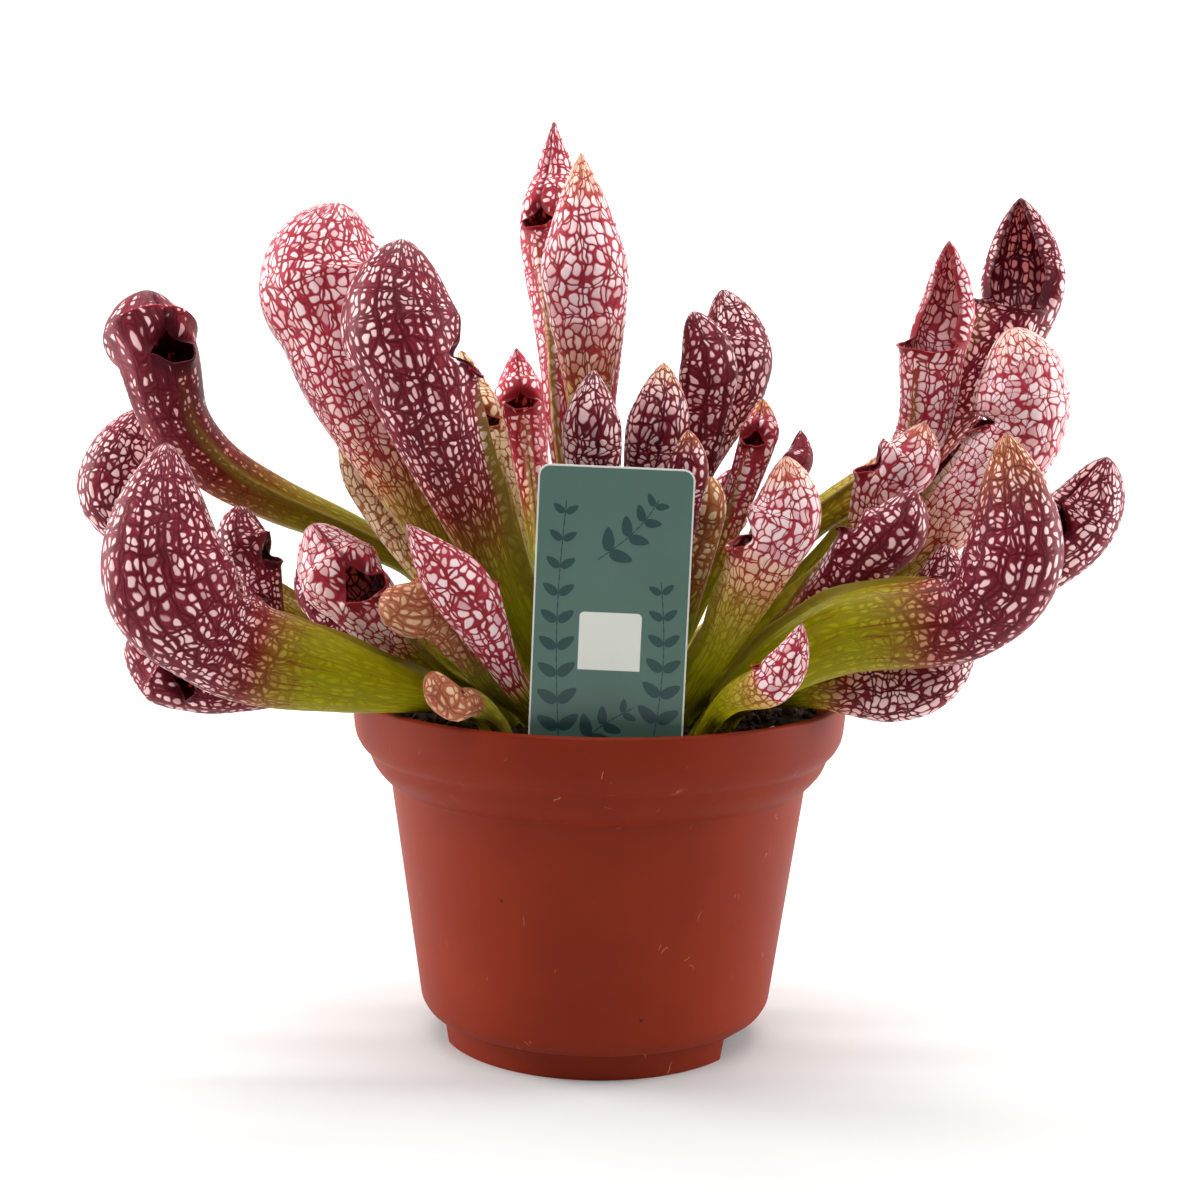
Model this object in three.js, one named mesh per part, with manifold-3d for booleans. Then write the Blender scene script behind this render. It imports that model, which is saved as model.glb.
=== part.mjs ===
// A potted pitcher plant: 46 hooded pitcher leaves in a rosette, rooted in dark peat in a
// terracotta-coloured nursery pot, with a plain plant label pushed into the peat.
//
// Units are millimetres and +Z is up. The origin is the middle of the pot's foot, on the
// surface that the pot stands on. +X is to the right and -Y towards someone who looks at
// the label.

import * as THREE from "three";
import { mergeVertices } from "three/addons/utils/BufferGeometryUtils.js";
import Module from "manifold-3d";

const manifold = await Module();
manifold.setup();

// ---- Driving dimensions ----------------------------------------------------------------

const POT_RIM_RADIUS = 70.6;
const POT_HEIGHT = 100;
const POT_WALL = 1.8;
const POT_SIDES = 36;
const FOOT_RADIUS = 44.6;
const FOOT_HEIGHT = 7.6;
const FOOT_THICKNESS = 2.2;
const FLOOR_TOP = 8.8;
const FOOT_NOTCHES = [-18, 100, 182]; // degrees round the pot from +X
const FOOT_NOTCH_WIDTH = 30;
const DRAIN_HOLES = 6;
const DRAIN_RADIUS = 4;
const DRAIN_CIRCLE = 30;

const SOIL_TOP = 93; // the peat's surface, below the rim
const SOIL_CROWN = 1.5; // how far it rises towards the middle
const CLEARANCE = 0.3; // gap kept between pieces that touch

const LABEL_WIDTH = 40;
const LABEL_HEIGHT = 83; // 75 mm of it stand above the peat
const LABEL_THICKNESS = 0.8;
const LABEL_CORNER = 3;
const LABEL_DEPTH = 8; // in the peat
const LABEL_PLACE = [1.5, -58.5];
const LABEL_LEAN = 1.6; // degrees to the right

const ROOTED = 9; // length of leaf stalk in the peat
const COLLAR = 8; // length of straight stalk above it
const LEAF_WALL = 0.9; // a pitcher's blade
const CAVITY_BANDS = 1; // the pitcher's inside starts this many bands of faces below its lip
const TIP_BLADES = 2.4; // and ends this many blade thicknesses before the tip
const LIP_FLARE = 0.14; // how far the lip's front turns out, as a part of its radius
const HOOD_CREST = 0.45; // the hood arches back most this far along it
const TIP_RADIUS = 0.25; // the least that the inside narrows to
const KEEL_ANGLE = 14; // half of the wing's root, in degrees round the tube
const KEEL_COLUMNS = 3; // columns of points that the wing takes
const SPINE_STEPS = 40; // samples of the middle line between two of its points
const HOLE_SIDES = 6; // of the hole that a stalk stands in
const HOLE_TOP = 5; // how far the tool that cuts it reaches above the stalk's base
const HOLE_EASE = 1.05; // how much wider than the stalk it is, before the clearance
const EDGE_DROP = 2.5; // how far the peat's edge lies below its surface
const FLAT_RADIUS = 50; // the peat slopes down outside this radius

// Colours of the leaves and of the made pieces
const DARK = "#6e2733";
const LIGHT = "#b9737c";
const OLIVE = "#9c9a45";
const TAN = "#b08a5e";
const TERRACOTTA = "#a9472c";
const PEAT = "#2b1e16";
const CARD = "#5f7d76";

// ---- The pitchers ----------------------------------------------------------------------
//
// base:   where the stalk leaves the peat [x, y]
// bends:  points that a bent tube passes through; one without them sags a little
// sag:    how far, as a part of the way from base to mouth
// rise:   the stalk leaves the peat at least this steeply, in degrees
// mouth:  the middle of the tube at the lip
// tip:    the hood's point
// root:   radius of the stalk in the peat
// throat: tube radius at the lip; hood: largest hood radius
// faces:  the compass direction that the mouth opens to, in degrees from +X
// up:     how much it also opens upwards
// open:   half of the mouth's width, in degrees round the tube
// shut:   how far the hood's edges come together above the mouth, from 0 to 1
// close:  how far up the hood the mouth ends, as a part of the hood's length
// point:  0 is a round dome, 1 a long point
// bulge:  how far the hood arches back, as a part of its length
// swell:  how late the tube widens; belly: how far it bulges below the lip
// wing:   height of the keel along the mouth's side
// large:  whether it has the finer set of faces
// bands:  how many bands of faces the tube has between its collar and its lip

const USUAL = {
  root: 2.7,
  bends: [],
  open: 44,
  shut: 0.95,
  close: 0.25,
  point: 0.3,
  swell: 2.2,
  belly: 0.35,
  wing: 3,
  rise: 55,
  up: 0.25,
  bulge: 0.12,
  sag: 0.05,
  large: true,
  bands: 4,
  colour: LIGHT,
};
const SMALL = { large: false, bands: 3, root: 2.3, wing: 1.6 };

const PITCHERS = [
  // left of the label, from the outside in
  {
    name: "pitcher_left_01",
    base: [-25, 8],
    bends: [
      [-54, 17.5, 132],
      [-66, 18, 139],
      [-78, 16, 145],
      [-95, 9, 153],
      [-109, 1, 162],
      [-119.5, -8, 176],
    ],
    mouth: [-123, -14, 193],
    tip: [-127, -8, 211.5],
    throat: 10.5,
    hood: 13,
    faces: -50,
    open: 36,
    close: 0.15,
    point: 0.2,
    swell: 1.5,
    wing: 1.2,
    belly: 0,
    bands: 9,
    colour: DARK,
  },
  {
    name: "pitcher_left_02",
    base: [-30, 15],
    bends: [[-92, 18, 117]],
    mouth: [-135, 20, 143],
    tip: [-134.5, 24, 178],
    throat: 9,
    hood: 12.2,
    faces: 10,
    point: 0.2,
    bulge: 0.25,
    bands: 5,
    colour: DARK,
  },
  {
    name: "pitcher_left_03",
    base: [-28, -36],
    bends: [[-68, -49, 111]],
    mouth: [-99, -54, 121],
    tip: [-112, -54, 172],
    throat: 13.2,
    hood: 17,
    faces: 40,
    open: 35,
    point: 0.35,
    bulge: 0.22,
    swell: 1.3,
    bands: 7,
    colour: DARK,
  },
  {
    name: "pitcher_left_04",
    base: [-35, -14],
    bends: [[-68, -26, 106]],
    mouth: [-110, -27, 104],
    tip: [-130, -24, 116],
    throat: 7,
    hood: 10,
    faces: -60,
    open: 50,
    point: 0.1,
    swell: 1.5,
    bands: 6,
    colour: DARK,
  },
  {
    name: "pitcher_left_05",
    ...SMALL,
    base: [-30, -5],
    bends: [[-89, -20, 118]],
    mouth: [-95, -20, 137],
    tip: [-100, -18, 153],
    throat: 5.4,
    hood: 7.5,
    faces: -10,
    open: 50,
    point: 0.1,
    belly: 0,
    colour: DARK,
  },
  {
    name: "pitcher_left_06",
    base: [-24, -22],
    mouth: [-65, -33, 130],
    tip: [-79, -27, 149],
    throat: 9,
    hood: 11.4,
    faces: -60,
    open: 45,
    point: 0.2,
  },
  {
    name: "pitcher_left_07",
    ...SMALL,
    base: [-34, 2],
    mouth: [-80, 4, 121],
    tip: [-86, 8, 137],
    throat: 4.2,
    hood: 5,
    faces: -30,
    colour: DARK,
  },
  {
    name: "pitcher_left_08",
    ...SMALL,
    base: [-17, -30],
    mouth: [-44, -44, 128],
    tip: [-58, -46, 132],
    throat: 7,
    hood: 7.6,
    faces: 60,
    point: 0,
    colour: TAN,
  },
  {
    name: "pitcher_left_09",
    base: [-12, -38],
    mouth: [-34, -58, 133],
    tip: [-50, -60, 153],
    throat: 7.6,
    hood: 8,
    faces: 60,
    point: 0.8,
    bulge: 0.02,
  },
  {
    name: "pitcher_left_10",
    base: [-15, -5],
    mouth: [-60, 5, 154],
    tip: [-70.5, 10, 180],
    throat: 10.2,
    hood: 11,
    faces: 80,
    point: 0.4,
    colour: OLIVE,
  },
  {
    name: "pitcher_left_11",
    base: [-14, -17],
    mouth: [-72, -15, 200],
    tip: [-73.5, -9, 236],
    throat: 15.6,
    hood: 19.5,
    faces: -10,
    point: 0.15,
    belly: 0.6,
    wing: 4,
    bands: 5,
  },
  {
    name: "pitcher_left_12",
    base: [-8, -27],
    mouth: [-49, -45, 190],
    tip: [-53, -41, 225],
    throat: 13,
    hood: 16.2,
    faces: 0,
    open: 34,
    close: 0.2,
    point: 0.4,
    wing: 5,
    bands: 5,
    colour: DARK,
  },
  {
    name: "pitcher_left_13",
    ...SMALL,
    base: [-24, 20],
    mouth: [-48, 24, 140],
    tip: [-54, 27, 155],
    throat: 4.8,
    hood: 5.4,
    faces: -60,
    colour: DARK,
  },
  {
    name: "pitcher_left_14",
    ...SMALL,
    base: [-24, -47],
    bends: [[-33, -59, 106]],
    mouth: [-37, -66, 107],
    tip: [-43, -69, 116],
    throat: 3.8,
    hood: 4.2,
    faces: 60,
    open: 50,
    point: 0,
    colour: TAN,
  },
  // the middle
  {
    name: "pitcher_middle_01",
    base: [-9, 8],
    mouth: [-35, 24, 173],
    tip: [-43, 34, 196],
    throat: 5.8,
    hood: 6.8,
    faces: -70,
    open: 40,
    close: 0.14,
    colour: OLIVE,
  },
  {
    name: "pitcher_middle_02",
    base: [-11, 19],
    mouth: [-25, 40, 178],
    tip: [-27, 48, 197],
    throat: 7.5,
    hood: 8,
    faces: -85,
    open: 40,
    close: 0.14,
    point: 0.7,
  },
  {
    name: "pitcher_middle_03",
    base: [-1, 6],
    bends: [
      [-12, 22, 173],
      [-14, 31, 198],
    ],
    mouth: [-18, 40, 232],
    tip: [-16.5, 50, 265],
    throat: 7.6,
    hood: 9,
    faces: -110,
    open: 40,
    close: 0.14,
    point: 0.8,
    bands: 6,
  },
  {
    name: "pitcher_middle_04",
    base: [-2, -9],
    mouth: [-5, -8, 204],
    tip: [-7.5, -4, 251],
    throat: 10,
    hood: 13.4,
    faces: 85,
    point: 0.75,
    bulge: 0.05,
    swell: 3.6,
    belly: 0,
    wing: 4,
    bands: 5,
  },
  {
    name: "pitcher_middle_05",
    ...SMALL,
    base: [3, 16],
    bends: [[-2, 20, 150]],
    mouth: [0, 28, 197],
    tip: [1, 35, 222],
    throat: 4.8,
    hood: 5.4,
    faces: -95,
    point: 0.6,
  },
  {
    name: "pitcher_middle_06",
    base: [0, -20],
    mouth: [-3, -33, 171],
    tip: [-3, -33, 192],
    throat: 7.7,
    hood: 8,
    faces: 85,
    point: 0.6,
    colour: DARK,
  },
  {
    name: "pitcher_middle_07",
    base: [8, -14],
    mouth: [14, -22, 171],
    tip: [16, -22, 194],
    throat: 8.2,
    hood: 8.6,
    faces: 100,
    point: 0.5,
    colour: DARK,
  },
  {
    name: "pitcher_middle_08",
    base: [10, -4],
    mouth: [28, -8, 183],
    tip: [24, -9, 208],
    throat: 7.4,
    hood: 8,
    faces: 150,
    point: 0.2,
    colour: DARK,
  },
  {
    name: "pitcher_middle_09",
    base: [10, 10],
    bends: [[25, 12, 160]],
    mouth: [37, 18, 187],
    tip: [34, 25, 215],
    throat: 9.6,
    hood: 10.8,
    faces: -140,
    open: 50,
    belly: 0,
    bands: 5,
    colour: DARK,
  },
  {
    name: "pitcher_middle_10",
    ...SMALL,
    base: [9, -29],
    mouth: [21, -45, 161],
    tip: [22, -47, 177],
    throat: 5.5,
    hood: 5.8,
    faces: 110,
    point: 0.4,
    colour: DARK,
  },
  {
    name: "pitcher_middle_11",
    ...SMALL,
    base: [14, 2],
    mouth: [43, -4, 171],
    tip: [45, 1, 184],
    throat: 4.8,
    hood: 5.5,
    faces: -110,
    open: 46,
    point: 0.5,
  },
  {
    name: "pitcher_middle_12",
    ...SMALL,
    base: [20, 14],
    mouth: [56, 28, 161],
    tip: [59, 33, 174],
    throat: 4.2,
    hood: 4.6,
    faces: -150,
    point: 0.5,
    colour: DARK,
  },
  {
    name: "pitcher_middle_13",
    ...SMALL,
    base: [15, -21],
    mouth: [28, -30, 151],
    tip: [29, -31, 164],
    throat: 4.3,
    hood: 4.6,
    faces: 100,
    point: 0.1,
    colour: OLIVE,
  },
  // right of the label, from the inside out
  {
    name: "pitcher_right_01",
    base: [18, -34],
    mouth: [43, -51, 146],
    tip: [47, -52, 171],
    throat: 8.4,
    hood: 9.8,
    faces: 180,
    point: 0.35,
  },
  {
    name: "pitcher_right_02",
    base: [26, -8],
    bends: [
      [52, -17, 124],
      [72, -20, 144],
    ],
    mouth: [78, -22, 163],
    tip: [87, -23, 179],
    throat: 7.4,
    hood: 8.6,
    faces: 180,
    point: 0.35,
    belly: 0,
    bands: 5,
  },
  {
    name: "pitcher_right_03",
    base: [22, -16],
    mouth: [72, -39, 146],
    tip: [82, -41, 162],
    throat: 8.4,
    hood: 8.8,
    faces: 150,
    colour: DARK,
  },
  {
    name: "pitcher_right_04",
    base: [20, -4],
    bends: [
      [57, -3, 147],
      [87.5, -3, 171.5],
    ],
    mouth: [92, -4, 199],
    tip: [96, 2, 229],
    throat: 8.6,
    hood: 9.4,
    faces: -125,
    open: 74,
    shut: 0.2,
    close: 0.8,
    point: 0.6,
    belly: 0.1,
    swell: 1.9,
    wing: 2,
    bands: 7,
  },
  {
    name: "pitcher_right_05",
    base: [23, 7],
    mouth: [119, 22, 210],
    tip: [121, 29, 243],
    throat: 11.5,
    hood: 13,
    faces: -130,
    open: 74,
    shut: 0.25,
    close: 0.8,
    point: 0.45,
    bands: 5,
    colour: DARK,
  },
  {
    name: "pitcher_right_06",
    base: [30, 0],
    mouth: [115, -12, 175],
    tip: [112, -12, 205],
    throat: 11.5,
    hood: 12.8,
    faces: 180,
  },
  {
    name: "pitcher_right_07",
    base: [27, -33],
    bends: [[63, -50, 124]],
    mouth: [95, -57, 131],
    tip: [102, -59, 178],
    throat: 10.6,
    hood: 13,
    faces: 145,
    open: 35,
    point: 0.35,
    bulge: 0.23,
    swell: 0.6,
    belly: 0.25,
    wing: 4,
    bands: 8,
    colour: DARK,
  },
  {
    name: "pitcher_right_08",
    base: [32, 9],
    mouth: [132, 6, 144.5],
    tip: [143.5, 2, 169],
    throat: 10.6,
    hood: 11,
    faces: -150,
    open: 45,
    close: 0.3,
    colour: DARK,
  },
  {
    name: "pitcher_right_09",
    ...SMALL,
    base: [36, -13],
    mouth: [89, -20, 126],
    tip: [95, -20, 146],
    throat: 6,
    hood: 8,
    faces: 160,
    colour: DARK,
  },
  {
    name: "pitcher_right_10",
    base: [34, -22],
    bends: [[57, -34, 107.5]],
    mouth: [79, -36, 107],
    tip: [101, -33, 118.5],
    throat: 7.8,
    hood: 8.3,
    faces: 130,
    point: 0.4,
    swell: 1.4,
    bands: 6,
    colour: DARK,
  },
  {
    name: "pitcher_right_11",
    ...SMALL,
    base: [26, -47],
    bends: [[34, -60, 108]],
    mouth: [43, -72, 115],
    tip: [50, -76, 131],
    throat: 5.2,
    hood: 5.6,
    faces: 130,
    point: 0.6,
  },
  {
    name: "pitcher_right_12",
    ...SMALL,
    base: [29, 16],
    mouth: [104, 26, 163],
    tip: [109, 30, 182],
    throat: 6.5,
    hood: 7.4,
    faces: -160,
    colour: DARK,
  },
  // behind
  {
    name: "pitcher_back_01",
    base: [-17, 27],
    mouth: [-36, 62, 140],
    tip: [-42, 72, 157],
    throat: 7.5,
    hood: 8.6,
    faces: -60,
  },
  {
    name: "pitcher_back_02",
    ...SMALL,
    base: [2, 31],
    mouth: [3, 66, 128],
    tip: [4, 76, 141],
    throat: 8,
    hood: 9,
    faces: -90,
    colour: DARK,
  },
  {
    name: "pitcher_back_03",
    base: [11, 24],
    mouth: [36, 60, 143],
    tip: [42, 70, 160],
    throat: 7.5,
    hood: 8.6,
    faces: -120,
    colour: DARK,
  },
  {
    name: "pitcher_back_04",
    ...SMALL,
    base: [-30, 28],
    mouth: [-80, 52, 127],
    tip: [-92, 60, 140],
    throat: 7.4,
    hood: 8.4,
    faces: -30,
  },
  {
    name: "pitcher_back_05",
    ...SMALL,
    base: [26, 25],
    mouth: [82, 54, 130],
    tip: [94, 62, 144],
    throat: 7.4,
    hood: 8.4,
    faces: -150,
    colour: OLIVE,
  },
  {
    name: "pitcher_back_06",
    ...SMALL,
    base: [-19, 36],
    bends: [[-33, 55, 107]],
    mouth: [-46, 68, 110],
    tip: [-56, 76, 119],
    throat: 6,
    hood: 6.8,
    faces: -60,
    colour: OLIVE,
  },
  {
    name: "pitcher_back_07",
    ...SMALL,
    base: [18, 36],
    bends: [[32, 56, 107]],
    mouth: [44, 70, 111],
    tip: [54, 78, 120],
    throat: 6,
    hood: 6.8,
    faces: -120,
  },
];

// ---- Helpers ---------------------------------------------------------------------------

const radians = THREE.MathUtils.degToRad;
const smooth = (x) => THREE.MathUtils.smoothstep(x, 0, 1);

function finish(name, geometry, colour, roughness) {
  geometry.computeVertexNormals();
  const material = new THREE.MeshStandardMaterial({
    color: colour,
    roughness,
    metalness: 0,
    flatShading: true,
  });
  const mesh = new THREE.Mesh(geometry, material);
  mesh.name = name;
  return mesh;
}

function solid(geometry) {
  const bare = geometry.clone();
  bare.deleteAttribute("normal");
  bare.deleteAttribute("uv");
  const merged = mergeVertices(bare, 1e-3);
  const vertProperties = new Float32Array(merged.attributes.position.array);
  const triVerts = new Uint32Array(merged.index.array);
  const mesh = new manifold.Mesh({ numProp: 3, vertProperties, triVerts });
  return new manifold.Manifold(mesh);
}

function geometryOf(body) {
  const mesh = body.getMesh();
  const geometry = new THREE.BufferGeometry();
  const position = new THREE.BufferAttribute(mesh.vertProperties, 3);
  geometry.setAttribute("position", position);
  geometry.setIndex(new THREE.BufferAttribute(mesh.triVerts, 1));
  return geometry;
}

// A post from one point towards another, used as a cutting tool.
function post(from, to, radius, sides) {
  const axis = new THREE.Vector3().subVectors(to, from);
  const shape = new THREE.CylinderGeometry(radius, radius, axis.length(), sides);
  shape.translate(0, axis.length() / 2, 0);
  const up = new THREE.Vector3(0, 1, 0);
  const turn = new THREE.Quaternion();
  turn.setFromUnitVectors(up, axis.normalize());
  shape.applyQuaternion(turn);
  shape.translate(from.x, from.y, from.z);
  return shape;
}

// A block with given limits, turned about Z by some degrees, used as a cutting tool.
function block(low, high, turned = 0) {
  const size = high.map((v, i) => v - low[i]);
  const shape = new THREE.BoxGeometry(...size);
  shape.translate(...low.map((v, i) => v + size[i] / 2));
  shape.rotateZ(radians(turned));
  return shape;
}

function lathe(outline, sides) {
  const points = outline.map(([r, z]) => new THREE.Vector2(r, z));
  const shape = new THREE.LatheGeometry(points, sides);
  shape.rotateX(Math.PI / 2);
  return shape;
}

// ---- The pot ---------------------------------------------------------------------------

// Outside of the wall from the foot to the rim, as [radius, height]: a straight taper,
// then two rounded ledges under a tall rim band.
const POT_OUTSIDE = [
  [50.6, 11],
  [59.6, 74.8],
  [62, 76.6],
  [64.6, 79.8],
  [65.9, 83.6],
  [67.9, 85.4],
  [69.7, 88.6],
  [70.2, 93],
  [POT_RIM_RADIUS, 99],
  [POT_RIM_RADIUS - 0.5, POT_HEIGHT],
];
// The inside follows the outside, without its rounded lip.
const POT_INSIDE = POT_OUTSIDE.slice(0, -2).map(([r, z]) => [r - POT_WALL, z]);

function makePot() {
  const outline = [
    [0, FLOOR_TOP - POT_WALL],
    [FOOT_RADIUS - FOOT_THICKNESS, FLOOR_TOP - POT_WALL],
    [FOOT_RADIUS - FOOT_THICKNESS, 0],
    [FOOT_RADIUS, 0],
    [FOOT_RADIUS + 1.2, FOOT_HEIGHT],
    [FOOT_RADIUS + 4.4, FOOT_HEIGHT + 0.9],
    ...POT_OUTSIDE,
    [POT_RIM_RADIUS - POT_WALL, POT_HEIGHT],
    ...[...POT_INSIDE].reverse(),
    [FOOT_RADIUS + 1, FLOOR_TOP],
    [0, FLOOR_TOP],
  ];
  let body = solid(lathe(outline, POT_SIDES));
  for (const angle of FOOT_NOTCHES) {
    const half = FOOT_NOTCH_WIDTH / 2;
    const notch = block([38, -half, -1], [60, half, FOOT_HEIGHT - 1.5], angle);
    body = body.subtract(solid(notch));
  }
  for (let i = 0; i < DRAIN_HOLES; i += 1) {
    const angle = (i / DRAIN_HOLES) * Math.PI * 2;
    const x = DRAIN_CIRCLE * Math.cos(angle);
    const y = DRAIN_CIRCLE * Math.sin(angle);
    const low = new THREE.Vector3(x, y, 0);
    const high = new THREE.Vector3(x, y, FLOOR_TOP + 2);
    body = body.subtract(solid(post(low, high, DRAIN_RADIUS, 10)));
  }
  return finish("pot", geometryOf(body), TERRACOTTA, 0.5);
}

// ---- The pitchers' shape ---------------------------------------------------------------

// The way that a stalk leaves the peat: towards its mouth, but at least `rise` steep.
function stalkStart(leaf) {
  const base = new THREE.Vector3(leaf.base[0], leaf.base[1], SOIL_TOP);
  const mouth = new THREE.Vector3(...leaf.mouth);
  const way = new THREE.Vector3().subVectors(mouth, base);
  const flat = Math.hypot(way.x, way.y);
  const steep = Math.max(Math.atan2(way.z, flat), radians(leaf.rise));
  const side = Math.cos(steep) / flat;
  const start = new THREE.Vector3(way.x * side, way.y * side, Math.sin(steep));
  return { base, mouth, way, start };
}

// Samples of a pitcher's middle line from its root to its tip, each with the distance
// along the line, the line's direction, and the direction of the mouth's side. That last
// one is chosen at the mouth and carried along the line without twisting.
function spine(leaf) {
  const { base, mouth, way, start } = stalkStart(leaf);
  const root = base.clone().addScaledVector(start, -ROOTED);
  const sag = leaf.sag * way.length();
  const middle = base.clone().addScaledVector(way, 0.5);
  middle.z -= sag;
  const bends = leaf.bends.map((p) => new THREE.Vector3(...p));
  if (!bends.length) bends.push(middle);
  const tip = new THREE.Vector3(...leaf.tip);
  const hood = new THREE.Vector3().subVectors(tip, mouth);
  const angle = radians(leaf.faces);
  const out = new THREE.Vector3(Math.cos(angle), Math.sin(angle), leaf.up);
  const along = hood.clone().normalize();
  along.add(mouth.clone().sub(bends.at(-1)).normalize()).normalize();
  const face = out.clone().addScaledVector(along, -out.dot(along)).normalize();
  const crest = mouth.clone().addScaledVector(hood, HOOD_CREST);
  crest.addScaledVector(face, -leaf.bulge * hood.length());
  const collar = base.clone().addScaledVector(start, COLLAR);
  const points = [root, base, collar, ...bends, mouth, crest, tip];
  const curve = new THREE.CatmullRomCurve3(points, false, "centripetal");
  const steps = SPINE_STEPS;
  const samples = [];
  const spans = points.length - 1;
  for (let i = 0; i <= steps * spans; i += 1) {
    const t = i / (steps * spans);
    samples.push({ at: curve.getPoint(t), way: curve.getTangent(t), s: 0 });
  }
  for (let i = 1; i < samples.length; i += 1) {
    const step = samples[i].at.distanceTo(samples[i - 1].at);
    samples[i].s = samples[i - 1].s + step;
  }
  const carry = (from, to) => {
    const v = from.side.clone();
    v.addScaledVector(to.way, -v.dot(to.way));
    to.side = v.normalize();
  };
  const lip = (points.length - 3) * steps;
  carry({ side: out }, samples[lip]);
  for (let i = lip + 1; i < samples.length; i += 1) carry(samples[i - 1], samples[i]);
  for (let i = lip - 1; i >= 0; i -= 1) carry(samples[i + 1], samples[i]);
  const collarEnd = samples[2 * steps].s;
  return { samples, base: samples[steps].s, collar: collarEnd, lip: samples[lip].s };
}

// The sample at a distance along the spine.
function station(line, s) {
  const { samples } = line;
  let i = 1;
  while (i < samples.length - 1 && samples[i].s < s) i += 1;
  const a = samples[i - 1];
  const b = samples[i];
  const t = THREE.MathUtils.clamp((s - a.s) / (b.s - a.s), 0, 1);
  const at = a.at.clone().lerp(b.at, t);
  const way = a.way.clone().lerp(b.way, t).normalize();
  const side = a.side.clone().lerp(b.side, t);
  side.addScaledVector(way, -side.dot(way)).normalize();
  const across = new THREE.Vector3().crossVectors(way, side);
  return { at, way, side, across };
}

// Radius of the tube at u, from 0 where it starts to widen to 1 at the lip.
function tubeRadius(leaf, u) {
  const t = Math.max(u, 0);
  const widened = t ** leaf.swell * (1 + 4 * leaf.belly * t * (1 - t));
  return leaf.root + (leaf.throat - leaf.root) * widened;
}

// Radius of the hood at v, from 0 at the lip to 1 at the tip.
function hoodRadius(leaf, v) {
  const full = leaf.throat + (leaf.hood - leaf.throat) * smooth(v / 0.4);
  const power = 2.6 - 1.1 * leaf.point;
  return full * (1 - v ** power) ** (0.5 + 0.55 * leaf.point);
}

// Half of the gap in front of the hood at v.
const hoodGap = (leaf, v) => radians(leaf.open) * (1 - leaf.shut * smooth(v / leaf.close));

// Height of the wing at u: a low keel that dies out at the peat and at the lip.
const wingHeight = (leaf, u) =>
  u <= 0 || u >= 1 ? 0 : leaf.wing * Math.sin(Math.PI * u ** 0.7) ** 0.8;

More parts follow.
